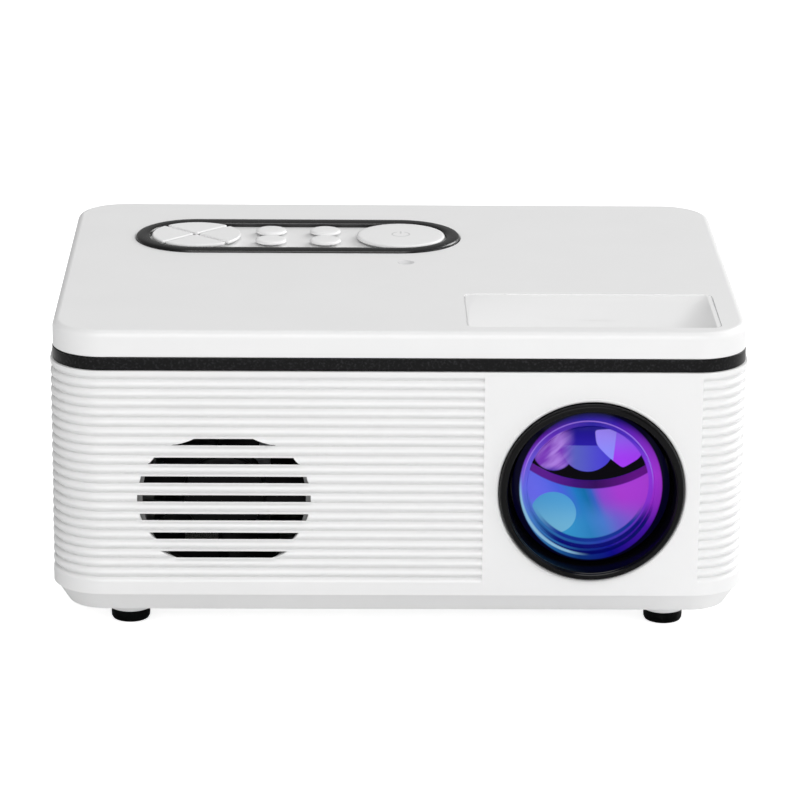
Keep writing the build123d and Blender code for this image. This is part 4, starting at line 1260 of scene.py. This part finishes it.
@dataclass
class BaseCover:
    """Bevelled base with foot bosses, sound slots, screw holes and the hole for the tripod insert."""

    case: Case
    step_in: float = 0.4
    bevel_in: float = 3.0
    inner_in: float = 3.6
    foot_x: float = 55.7
    foot_y: float = 40.6
    boss_r: float = 5.2
    boss_z: float = 2.6
    tripod_y: float = -26.0
    tripod_r: float = 5.05
    speaker_x: float = -38.0
    speaker_y: float = -27.0
    sound_slots: int = 5
    sound_step: float = 3.6
    sound_half: tuple[float, float] = (0.7, 7.0)
    screw_hole_r: float = 2.9
    screw_hole_deep: float = 1.3
    post_half: float = 2.5
    post_x: float = 52.0
    post_y: tuple[float, float] = (35.0, 46.3)
    post_z: float = 13.0
    pads_x: tuple[float, ...] = (-6.0, 58.0, -52.0)
    pads_y: tuple[float, ...] = (-14.0, 24.0)
    pad_side: float = 6.0
    pad_z: float = 9.9
    tripod_boss_half: float = 7.0
    tripod_reach: float = 9.0  # of the insert's hole above the floor
    sink: float = 0.5  # of the posts into the floor

    def feet(self) -> Plan:
        """Plan places of the four feet."""
        return four(self.foot_x, self.foot_y)

    def hexagon(self) -> Plan:
        """Plan outline of the tripod insert's hole."""
        turns = [math.radians(a) for a in range(0, 360, 60)]
        return [(self.tripod_r * math.cos(t), self.tripod_y + self.tripod_r * math.sin(t)) for t in turns]

    def tools(self) -> bpy.types.Object:
        """Makes the tools that cut the sound slots, the tripod hole and the screw holes.

        Returns:
            The tools as one piece.
        """
        case, low = self.case, self.case.low_z
        u, v = self.sound_half
        y, tools = self.speaker_y, []
        for i in range(self.sound_slots):
            x = self.speaker_x + (i - (self.sound_slots - 1) / 2) * self.sound_step
            tools.append(prism("sound", rounded(x - u, x + u, y - v, y + v, u - 0.01, 6), low - OVERCUT,
                               case.floor_z + OVERCUT))
        tools.append(prism("tripod", self.hexagon(), low - OVERCUT, case.floor_z + self.tripod_reach))
        hole = [(self.screw_hole_r, low - OVERCUT), (self.screw_hole_r, low + self.screw_hole_deep)]
        tools += [turned("screw_hole", hole, (x, y, 0), "Z", 32, ring=False)
                  for x, y in four(case.column_x, case.column_y)]
        return join("tools", tools)

    def posts(self) -> list[bpy.types.Object]:
        """Makes what stands on the floor of the tray.

        Returns:
            The columns' feet, the board's posts and pads, and the boss of the tripod insert.
        """
        case, foot = self.case, self.case.floor_z - self.sink
        posts = [post("post", x, y, case.column_side / 2, foot, case.column_z[0])
                 for x, y in four(case.column_x, case.column_y)]
        posts += [post("post", x, y, self.post_half, foot, self.post_z)
                  for x in (-self.post_x, self.post_x) for y in self.post_y]
        posts += [slab("pad", x, x + self.pad_side, y, y + self.pad_side, foot, self.pad_z)
                  for x in self.pads_x for y in self.pads_y]
        boss = post("boss", 0.0, self.tripod_y, self.tripod_boss_half, foot, self.post_z)
        hole = prism("tripod", self.hexagon(), case.low_z - OVERCUT, case.floor_z + self.tripod_reach)
        return posts + [carve(boss, hole)]

    def build(self, finishes: Finishes) -> None:
        """Lofts the tray, cuts it, and adds bosses and posts.

        Args:
            finishes: The materials.
        """
        case = self.case
        low, crease = case.low_z, case.crease_z
        slope = (self.bevel_in - self.step_in) / (crease - low)
        levels = [(self.bevel_in + 0.5, low), (self.bevel_in + 0.16, low + 0.07), (self.bevel_in - 0.05, low + 0.3),
                  (self.step_in + 0.3 * slope, crease - 0.3), (self.step_in + 0.02, crease - 0.08),
                  (self.step_in + 0.12, crease)]
        body = make("base", *loft([at(case.outline(inset), z) for inset, z in levels]))
        carve(body, prism("inner", case.outline(self.inner_in), case.floor_z, crease + 2 * OVERCUT))
        posts = self.posts()
        carve(body, self.tools())
        dish = [(0.0, self.boss_z), (4.2, self.boss_z), (4.45, self.boss_z + 0.12), (4.6, self.boss_z + 0.4),
                (self.boss_r - 0.3, low - 0.7), (self.boss_r - 0.05, low - 0.25), (self.boss_r, low + 0.1),
                (0.0, low + 0.1)]
        bosses = [turned("boss", dish, (x, y, 0), "Z", 64, ring=False) for x, y in self.feet()]
        base = join("bevelled_base", [body] + posts + bosses)
        settle(smooth(base), "housing", Slot.CASE, finishes.case, "base_cover")


@dataclass
class TrimBand:
    """Black strip between the halves of the case, set in a little, its outer edges slightly round."""

    case: Case
    set_in: float = 0.45
    edge: float = 0.25

    def build(self, finishes: Finishes) -> None:
        """Skins the strip round the case.

        Args:
            finishes: The materials.
        """
        low, high = self.case.band_low_z, self.case.band_top_z
        out = self.set_in
        section = [(self.case.wall, low), (out + self.edge, low), (out + 0.07, low + 0.07), (out, low + self.edge),
                   (out, high - self.edge), (out + 0.07, high - 0.07), (out + self.edge, high),
                   (self.case.wall, high)]
        rings = [at(self.case.outline(inset, 28), z) for inset, z in section]
        band = make("trim_strip", *loft(rings, ring_closed=True))
        settle(smooth(band, 50.0), "housing", Slot.TRIM, finishes.trim, "trim_band")


@dataclass
class TopCover:
    """Top of the case: round edge, shallow tray over the lens, sunk key panel and its holes."""

    case: Case
    set_in: float = 0.55
    edge_r: float = 1.5
    tray: tuple[float, float, float, float] = (13.6, 65.6, -47.5, -22.8)  # left, right, front, back
    tray_r: float = 1.8
    tray_far: float = 0.25
    tray_near: float = 4.2
    tray_shallow: float = 0.12
    tray_rim: float = 1.05
    # plastic under and round the tray, at its back and left and at its front and right
    tray_wall: tuple[float, float] = (1.6, 1.0)
    seam_depth: float = 0.5
    left_run: float = 32.0
    right_run: tuple[float, float] = (2.6, 12.6)  # at the back and at the front
    panel_x: float = -21.4
    panel_y: float = 22.25
    panel_step: float = 44.6
    panel_r: float = 13.4
    panel_floor_z: float = 64.94
    key_hole: float = 3.0
    ir_x: float = 2.0
    ir_y: float = 1.6
    ir_r: float = 1.8
    switch_reach: float = 6.0
    small_x: float = -21.35
    small_reach: tuple[float, float] = (5.95, 3.95)
    power_x: float = 1.2
    posts_x: tuple[float, ...] = (-57.45, 14.65)
    posts_y: tuple[float, ...] = (0.5, 33.6)
    post_half: float = 2.5
    post_low_z: float = 57.4
    sink: float = 0.5  # of posts and tray into the top
    panel_edge: tuple[float, float] = (0.3, 0.15)  # width and depth of the slope at the panel's edge

    def stems(self) -> Plan:
        """Lists the key stems.

        Returns:
            Their nine plan places.
        """
        pad_x = self.panel_x - self.panel_step / 2
        reach = self.switch_reach
        pad = [(pad_x + dx, self.panel_y + dy) for dx, dy in ((reach, 0), (0, reach), (-reach, 0), (0, -reach))]
        small = [(self.small_x + dx, self.panel_y + dy) for dx, dy in four(*self.small_reach)]
        return pad + small + [(self.power_x, self.panel_y)]

    def tray_depth(self, x: float, y: float, inset: float) -> float:
        """Depth of the tray at a point, negative outside its rim.

        Args:
            x: Place across the case.
            y: Place along the case.
            inset: Distance inside the tray's outline.

        Returns:
            The depth below the top face.
        """
        if inset <= 0.0:
            return inset * 0.5
        x1, x2, y1, y2 = self.tray
        near = (y2 - y) / (y2 - y1)
        # the floor falls away from the far edge and from the left end, ever less steeply
        fall = 1 - (1 - max(0.0, min(1.0, (x - x1) / self.left_run))) ** 2
        level = max(self.tray_shallow, (self.tray_far + (self.tray_near - self.tray_far) * near) * fall)
        run = self.right_run[0] + (self.right_run[1] - self.right_run[0]) * near
        share = max(0.0, min(1.0, (x2 - self.tray_rim - x) / run))
        # the right end is hollow: level at its foot and steeper up to the rim
        right = level * (1 - (1 - share) ** 2)
        depth = max(0.02, min(smooth_min(level, (inset - 0.15) * 3.7, 0.2), right))
        seam = self.seam_depth if near > 0.04 else self.seam_depth * 0.3
        return max(depth, seam) if 0.03 < inset < 0.26 else depth

    def tray_tool(self) -> bpy.types.Object:
        """Makes the tool that cuts the tray and the thin seam round it.

        Returns:
            The tool, whose rings lie closest at the seam and the rim.
        """
        x1, x2, y1, y2 = self.tray
        insets = [-0.6, -0.2, 0.0, 0.04, 0.24, 0.28, 0.33, 0.4, 0.5, 0.6, 0.75, 0.9, 1.03, 1.06, 1.15, 1.3, 1.5, 1.8,
                  2.2, 2.7, 3.3, 4.0, 4.8, 5.7, 6.7, 7.8, 9.0, 10.2, 11.3, 12.0, 12.34]
        top = self.case.top_z
        rings = []
        for inset in insets:
            plan = rounded(x1 + inset, x2 - inset, y1 + inset, y2 - inset, max(self.tray_r - inset, 0.01), 12, 30)
            if not rings:
                rings.append(at(plan, top + 2 * OVERCUT))
            rings.append([(x, y, top - self.tray_depth(x, y, inset)) for x, y in plan])
        return make("tray_tool", *loft(rings), sharp=80.0)

    def build(self, finishes: Finishes) -> None:
        """Lofts the cover, cuts it and smooths it.

        Args:
            finishes: The materials.
        """
        case = self.case
        r, top, low = self.edge_r, case.top_z, case.band_top_z
        levels = [(0.12, low), (0.0, low + 0.12)]
        levels += [(r * (1 - math.cos(t)), top - r + r * math.sin(t)) for t in
                   [math.radians(90 * k / 10) for k in range(11)]]
        body = make("cover", *loft([at(case.outline(inset + self.set_in, 28), z) for inset, z in levels]))
        carve(body, prism("inner", case.outline(case.wall), low - OVERCUT, case.ceiling_z))
        x1, x2, y1, y2 = self.tray
        wide, narrow = self.tray_wall
        carve(body, slab("tray_back", x1 - wide, x2 + narrow, y1 - narrow, y2 + wide, top - self.tray_near - wide,
                         case.ceiling_z + self.sink), "UNION")
        carve(body, self.tray_tool())
        x, y, step = self.panel_x, self.panel_y, self.panel_step
        rings = []
        out, drop = self.panel_edge
        for grow_by, z in ((out, top + OVERCUT), (out, top + drop), (0.0, top - drop), (0.0, self.panel_floor_z)):
            radius = self.panel_r + grow_by
            rings.append(at(rounded(x - step / 2 - radius, x + step / 2 + radius, y - radius, y + radius,
                                    radius - STRAIGHT, 32), z))
        carve(body, make("sunk", *loft(rings)))
        holes = [post("hole", sx, sy, self.key_hole / 2, low, top + OVERCUT) for sx, sy in self.stems()]
        holes.append(turned("ir_hole", [(self.ir_r, low), (self.ir_r, top + OVERCUT)], (self.ir_x, self.ir_y, 0), "Z",
                            48, ring=False))
        carve(body, join("holes", holes))
        posts = [post("post", px, py, self.post_half, self.post_low_z, case.ceiling_z + self.sink)
                 for px in self.posts_x for py in self.posts_y]
        cover = join("moulded_cover", [body] + posts)
        settle(smooth(cover, 40.0), "housing", Slot.CASE, finishes.case, "top_cover")


@dataclass
class KeyPanel:
    """Black oblong ring, nine keys with soft edges and the window of the remote control."""

    cover: TopCover
    ring_r: float = 13.3
    ring_width: float = 3.0
    ring_top_z: float = 66.2
    power_r: float = 9.7
    small_r: float = 3.425
    stem: float = 2.4

    def oblong(self, radius: float) -> Plan:
        """Draws a slot shape round the panel's middle.

        Args:
            radius: Radius of its ends.

        Returns:
            Its plan outline.
        """
        cover = self.cover
        x, y, half = cover.panel_x, cover.panel_y, cover.panel_step / 2
        return rounded(x - half - radius, x + half + radius, y - radius, y + radius, radius - STRAIGHT, 40)

    def round_key(self, node: str) -> bpy.types.Object:
        """Turns a round key with a soft edge and a slight dome, on its square stem.

        Args:
            node: The CAD node of the key.

        Returns:
            The key.
        """
        low, high = (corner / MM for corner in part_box(node))
        x, y, top = (low.x + high.x) / 2, (low.y + high.y) / 2, high.z
        r = self.power_r if node == "power_key" else self.small_r
        foot = self.cover.panel_floor_z + 0.6
        cap = [(0.0, foot), (r - 0.1, foot), (r, foot + 0.1), (r - 0.01, top - 0.5), (r - 0.08, top - 0.3),
               (r - 0.26, top - 0.15), (r - 0.55, top - 0.07), (r - 1.1, top - 0.035), (r * 0.4, top - 0.008),
               (0.0, top)]
        body = turned("cap", cap, (x, y, 0), "Z", 72, ring=False)
        stem = post("stem", x, y, self.stem / 2, low.z, foot + 0.2)
        return smooth(join(node + "_cap", [body, stem]), 50.0)

    def build(self, finishes: Finishes) -> None:
        """Makes the ring, the keys and the window.

        Args:
            finishes: The materials.
        """
        outer, inner = self.ring_r, self.ring_r - self.ring_width
        floor, top = self.cover.panel_floor_z, self.ring_top_z
        curve = ((0.0, 0.65), (0.08, 0.4), (0.3, 0.17), (0.7, 0.04))
        section = [(inner, floor), (outer, floor)] + [(outer - along, top - drop) for along, drop in curve]
        section += [(outer - 1.3, top), (inner + 1.2, top)]
        section += [(inner + along, top - drop) for along, drop in reversed(curve)]
        rings = [at(self.oblong(radius), z) for radius, z in section]
        ring = make("panel_ring", *loft(rings, ring_closed=True))
        settle(smooth(ring, 50.0), "housing", Slot.TRIM, finishes.panel_ring, "control_ring")
        printed = PrintedKey(self.cover.power_x, self.cover.panel_y).build()
        for node in sorted(n for n in frame["nodes"] if n.startswith(("key_", "small_key_", "power_key"))):
            if node == "keypad_board":
                continue
            key = softened_copy(node, node + "_cap", 0.32, 3) if node.startswith("key_") else self.round_key(node)
            settle(key, node, Slot.KEYS, printed if node == "power_key" else finishes.keys, node)
        cover = self.cover
        z, r = cover.case.top_z, cover.ir_r - 0.03
        dish = [(0.0, z - 0.4), (0.5, z - 0.38), (1.0, z - 0.28), (1.35, z - 0.15), (r - 0.15, z - 0.05),
                (r - 0.05, z - 0.03), (r, z - 0.1), (r, cover.case.ceiling_z), (0.0, cover.case.ceiling_z)]
        window = turned("remote_window", dish, (cover.ir_x, cover.ir_y, 0), "Z", 64, ring=False)
        settle(smooth(window), "housing", Slot.WINDOW, finishes.window, "ir_window")


@dataclass
class LensFront:
    """Focus ring with its stepped inner cone, and the coated front lens."""

    x: float
    z: float
    ring_r: float = 19.0
    front_y: float = -53.8
    seat_y: float = -45.7
    glass_r: float = 16.2
    glass_y: float = -49.086
    dome: float = 1.864
    step_r: float = 13.2
    step_deep: float = 0.1

    def ring_profile(self) -> Plan:
        """Draws the section of the focus ring.

        Returns:
            A round lip, a groove and fine steps down to the glass.
        """
        r, front, seat = self.ring_r, self.front_y, self.seat_y
        section = [(r, seat), (r, front + 0.8), (r - 0.1, front + 0.4), (r - 0.35, front + 0.1), (r - 0.7, front),
                   (r - 1.2, front), (r - 1.4, front + 0.12), (r - 1.48, front + 0.45), (r - 1.62, front + 0.55)]
        steps, start, end = 5, (r - 1.7, front + 0.9), (self.glass_r + 0.5, self.glass_y - 0.1)
        for k in range(steps):
            share, after = k / steps, (k + 0.75) / steps
            radius = start[0] + (end[0] - start[0]) * share
            section.append((radius, start[1] + (end[1] - start[1]) * share))
            section.append((radius - 0.06, start[1] + (end[1] - start[1]) * after))
        return section + [end, (self.glass_r + 0.25, self.glass_y + 0.6), (self.glass_r + 0.2, seat)]

    def glass_profile(self) -> Plan:
        """Draws the section of the lens.

        Returns:
            A domed front with a fine step near the rim, and a flat back.
        """
        ball = (self.glass_r ** 2 + self.dome ** 2) / (2 * self.dome)
        pole = self.glass_y - self.dome
        radii = [0.0, 1.0, 2.5, 4.0, 5.5, 7.0, 8.5, 10.0, 11.0, 11.8, 12.4, 12.9, 13.1, self.step_r, 13.35, 13.6, 14.2,
                 14.8, 15.3, self.glass_r]
        section = []
        for r in radii:
            dip = self.step_deep if r == self.step_r else 0.0
            section.append((r, pole + ball - math.sqrt(ball * ball - r * r) + dip))
        return section + [(self.glass_r, self.glass_y + 4.0), (0.0, self.glass_y + 4.0)]

    def build(self, finishes: Finishes) -> None:
        """Turns the ring and the lens.

        Args:
            finishes: The materials.
        """
        centre = (self.x, 0.0, self.z)
        ring = turned("stepped_focus_ring", self.ring_profile(), centre, steps=128)
        settle(smooth(ring, 28.0), "focus_ring", Slot.LENS_PLASTIC, finishes.lens_plastic, "focus_ring")
        glass = turned("domed_front_lens", self.glass_profile(), centre, steps=128, ring=False)
        settle(smooth(glass), "lens_carriage", Slot.LENS_GLASS, CoatedGlass(self.x, self.z).build(), "front_lens")


@dataclass
class Fan:
    """Fan wheel with curved blades behind the grille."""

    x: float
    z: float = 29.858
    hub_r: float = 8.5
    front_y: float = -49.7
    back_y: float = -43.1
    tip_r: float = 18.0
    blades: int = 5
    # at the hub, and what is added towards the tip
    tilt: tuple[float, float] = (58.0, -16.0)
    chord: tuple[float, float] = (7.4, 1.2)
    bow: float = 0.5
    seal_r: float = 18.95
    seal_width: float = 2.2

    def blade(self) -> bpy.types.Object:
        """Makes one blade.

        Returns:
            A twisted blade along +X from the fan's axis, about the origin.
        """
        stations, chords = 7, 6
        length = self.back_y - self.front_y - 0.6
        top, low = [], []
        for i in range(stations):
            share = i / (stations - 1)
            radius = self.hub_r - 0.6 + (self.tip_r - self.hub_r + 0.6) * share
            tilt = math.radians(self.tilt[0] + self.tilt[1] * share)
            for j in range(chords):
                run = (j / (chords - 1) - 0.5) * (self.chord[0] + self.chord[1] * share)
                bow = self.bow * (1 - (2 * j / (chords - 1) - 1) ** 2)
                u = run * math.cos(tilt) - bow * math.sin(tilt)
                v = run * math.sin(tilt) + bow * math.cos(tilt)
                depth = max(-length / 2, min(length / 2, u))
                reach = math.sqrt(max(radius ** 2 - v ** 2, 1.0))
                top.append((reach, depth, v))
                low.append((reach, depth + 0.5 * math.sin(tilt), v - 0.7 * math.cos(tilt)))
        count = stations * chords
        faces: Faces = []
        for i in range(stations - 1):
            for j in range(chords - 1):
                a = i * chords + j
                quad = (a, a + 1, a + chords + 1, a + chords)
                faces += [quad, tuple(k + count for k in reversed(quad))]
        border = list(range(chords)) + [i * chords + chords - 1 for i in range(1, stations)]
        border += [(stations - 1) * chords + j for j in range(chords - 2, -1, -1)]
        border += [i * chords for i in range(stations - 2, 0, -1)]
        faces += [(a, b, b + count, a + count) for a, b in zip(border, border[1:] + border[:1])]
        return make("blade", top + low, faces, sharp=50.0)

    def build(self, tree: bpy.types.NodeTree, finishes: Finishes) -> None:
        """Turns the hub and repeats the blade round it.

        Args:
            tree: The tree that makes copies.
            finishes: The materials.
        """
        middle = (self.front_y + self.back_y) / 2
        places = [(self.x, middle, self.z)] * self.blades
        wheel = copies("fan_blades", tree, self.blade(), places, finishes.fan_plastic, 2 * math.pi / self.blades)
        r, front, back = self.hub_r, self.front_y, self.back_y
        cap = [(0.0, front), (r - 1.0, front), (r - 0.3, front + 0.3), (r, front + 1.0), (r, back), (0.0, back)]
        hub = turned("hub", cap, (self.x, 0.0, self.z), steps=64, ring=False)
        rotor = join("fan_wheel", [wheel, hub])
        settle(smooth(rotor), "fan_rotor", Slot.INNER_PLASTIC, finishes.fan_plastic, "fan_rotor")
        out, inside, y = self.seal_r, self.seal_r - self.seal_width, self.front_y - 0.15
        seal = [(inside, y), (out, y), (out, y - 0.65), (inside, y - 0.65)]
        settle(smooth(turned("fan_seal", seal, (self.x, 0.0, self.z))), "housing", Slot.INNER_PLASTIC, finishes.foam)


@dataclass
class Underside:
    """Rubber feet and the screws of the base."""

    base: BaseCover
    foot_r: float = 4.05

    def screw(self) -> bpy.types.Object:
        """Makes one screw.

        Returns:
            A round head with a cross slot, seen from below, about the origin.
        """
        profile = [(0.0, 0.0), (1.2, 0.05), (2.0, 0.3), (2.4, 0.75), (2.4, 1.25), (0.0, 1.25)]
        head = turned("screw", profile, (0, 0, 0), "Z", 40, ring=False)
        for dx, dy in ((1.3, 0.26), (0.26, 1.3)):
            carve(head, slab("cross", -dx, dx, -dy, dy, -1.0, 0.7))
        return head

    def build(self, tree: bpy.types.NodeTree, finishes: Finishes) -> None:
        """Turns a foot and a screw and repeats them.

        Args:
            tree: The tree that makes copies.
            finishes: The materials.
        """
        base, r = self.base, self.foot_r
        profile = [(0.0, 0.15), (2.6, 0.1), (3.0, 0.0), (r - 0.8, 0.0), (r - 0.3, 0.2), (r - 0.05, 0.65), (r, 1.2),
                   (r, base.boss_z - 0.15), (r - 0.1, base.boss_z), (0.0, base.boss_z)]
        foot = turned("foot", profile, (0, 0, 0), "Z", 64, ring=False)
        feet = copies("soft_feet", tree, foot, at(base.feet(), 0.0), finishes.rubber)
        settle(feet, "housing", Slot.RUBBER, None, "rubber_feet")
        case = base.case
        places = at(four(case.column_x, case.column_y), case.low_z + 0.05)
        screws = copies("case_screws", tree, self.screw(), places, finishes.steel)
        settle(screws, "housing", Slot.STEEL, None)


@dataclass
class SocketContacts:
    """Gilt contacts on the tongues of the video and USB sockets."""

    # name, tongue, place across the case, step, count and width
    rows: tuple = (("video_contacts", "hdmi_tongue", -20.0, 0.9, 10, 0.35),
                   ("usb_contacts", "usb_tongue", 0.0, 2.4, 4, 1.1))
    length: float = 6.5
    set_back: float = 0.6
    sunk: float = 0.05
    edge_r: float = 0.03

    def build(self, tree: bpy.types.NodeTree, finishes: Finishes) -> None:
        """Repeats a contact along each tongue.

        Args:
            tree: The tree that makes copies.
            finishes: The materials.
        """
        for name, node, x, step, count, width in self.rows:
            low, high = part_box(node)
            y, z = high.y / MM - self.set_back, low.z / MM - self.sunk
            pin = soften(slab("pin", -width / 2, width / 2, -self.length, 0.0, -0.1, 0.06), self.edge_r)
            places = [(x + (i - (count - 1) / 2) * step, y, z) for i in range(count)]
            row = copies(name, tree, pin, places, finishes.gilt)
            settle(row, "housing", Slot.BRASS, None)


# ---------------------------------------------------------------- studio


@dataclass
class Studio:
    """Pale floor, soft lamps and the camera at the photograph's angle."""

    distance: float = 838.398
    elevation: float = 17.436
    azimuth: float = -1.048
    roll: float = 0.529
    target: tuple[float, float, float] = (0.962, 0.0, 34.958)
    focal_px: float = 3862.971
    image_px: float = 800.0
    sensor: float = 36.0
    # name, place and size in metres, power in watts
    lamps: tuple = (
        ("right_low", (1.8, -0.4, 0.5), (1.0, 0.8), 4.6), ("right_front", (1.5, -1.3, 1.0), (1.0, 1.0), 3.4),
        ("front_high", (0.0, -1.6, 1.8), (1.2, 1.0), 19.2), ("front_low", (-0.3, -2.2, 0.6), (1.6, 1.0), 10.2),
        ("top", (0.2, 0.4, 1.8), (1.6, 1.6), 3.8), ("back_right", (1.5, 1.2, 1.0), (1.0, 1.0), 27.5))
    aim: Point = (0.0, 0.0, 0.03)
    surroundings: float = 0.3
    floor_glow: float = 0.8
    floor_half: float = 3000.0
    floor_corner: float = 200.0
    floor_thick: float = 20.0

    def camera(self) -> None:
        """Places the camera."""
        e, a, r = (math.radians(v) for v in (self.elevation, self.azimuth, self.roll))
        back = Vector((math.sin(a) * math.cos(e), -math.cos(a) * math.cos(e), math.sin(e)))
        right = (-back).cross(Vector((0, 0, 1))).normalized()
        up = right.cross(-back)
        right, up = math.cos(r) * right + math.sin(r) * up, math.cos(r) * up - math.sin(r) * right
        data = bpy.data.cameras.new("camera")
        data.sensor_width = self.sensor
        data.lens = self.focal_px * self.sensor / self.image_px
        data.clip_start, data.clip_end = 0.01, 50.0
        camera = bpy.data.objects.new("camera", data)
        bpy.context.scene.collection.objects.link(camera)
        turn = Matrix((right, up, back)).transposed().to_4x4()
        place = Vector(self.target) + back * self.distance
        camera.matrix_world = Matrix.Translation(place * MM) @ turn
        bpy.context.scene.camera = camera

    def lamp(self, name: str, place: Point, size: tuple[float, float], watts: float) -> None:
        """Hangs a soft lamp that faces the projector.

        Args:
            name: Name of the lamp.
            place: Where it hangs, in metres.
            size: Width and height in metres.
            watts: Its power.
        """
        data = bpy.data.lights.new(name, "AREA")
        data.shape = "RECTANGLE"
        data.size, data.size_y = size
        data.energy = watts
        lamp = bpy.data.objects.new(name, data)
        bpy.context.scene.collection.objects.link(lamp)
        lamp.location = place
        lamp.rotation_euler = (Vector(self.aim) - Vector(place)).to_track_quat("-Z", "Y").to_euler()

    def world(self) -> None:
        """Even pale surroundings, white where the camera looks at them or through glass."""
        world = bpy.data.worlds.new("studio")
        world.use_nodes = True
        bpy.context.scene.world = world
        tree = world.node_tree
        path = add_node(tree, "ShaderNodeLightPath").outputs
        seen = Term(tree, path["Is Camera Ray"]).most(path["Is Transmission Ray"])
        level = add_node(tree, "ShaderNodeMapRange", None, {
            "Value": seen, "To Min": self.surroundings, "To Max": 1.0})
        background = tree.nodes["Background"]
        background.inputs["Color"].default_value = linear("FFFFFF")
        tree.links.new(level.outputs[0], background.inputs["Strength"])

    def floor(self) -> None:
        """Lays the floor: white, with the object's shadow."""
        material, tree, shader, where = new_material("white_sweep")
        colour = mixed(tree, noise(tree, where, 6.0), "EAEAEA", "F0F0F0")
        tree.links.new(colour, shader.inputs["Base Color"])
        shader.inputs["Roughness"].default_value = 0.9
        shader.inputs["Specular IOR Level"].default_value = 0.0
        path = add_node(tree, "ShaderNodeLightPath").outputs
        lift = Term(tree, path["Is Camera Ray"]) * self.floor_glow
        shader.inputs["Emission Color"].default_value = linear("FFFFFF")
        tree.links.new(lift.socket, shader.inputs["Emission Strength"])
        half = self.floor_half
        floor = prism("floor", rounded(-half, half, -half, half, self.floor_corner, 8), -self.floor_thick, 0.0)
        floor.data.materials.append(material)

    def build(self) -> None:
        """Makes camera, floor, surroundings and lamps, and sets the view transform."""
        self.camera()
        self.floor()
        self.world()
        for lamp in self.lamps:
            self.lamp(*lamp)
        bpy.context.scene.view_settings.view_transform = "Standard"


def main() -> None:
    """Builds the projector and the studio."""
    logging.basicConfig(level=logging.INFO, format="%(name)s: %(message)s")
    finishes = Finishes()
    finishes.dress_nodes()
    case = Case()
    ribbed, repeated = rib_tree(), copies_tree()
    Studio().build()
    walls = RibbedHousing(case)
    walls.build(ribbed, finishes)
    base = BaseCover(case)
    base.build(finishes)
    TrimBand(case).build(finishes)
    cover = TopCover(case)
    cover.build(finishes)
    KeyPanel(cover).build(finishes)
    LensFront(walls.lens_x, walls.lens_z).build(finishes)
    Fan(walls.grille_x).build(repeated, finishes)
    Underside(base).build(repeated, finishes)
    SocketContacts().build(repeated, finishes)


if __name__ == "__main__":
    main()
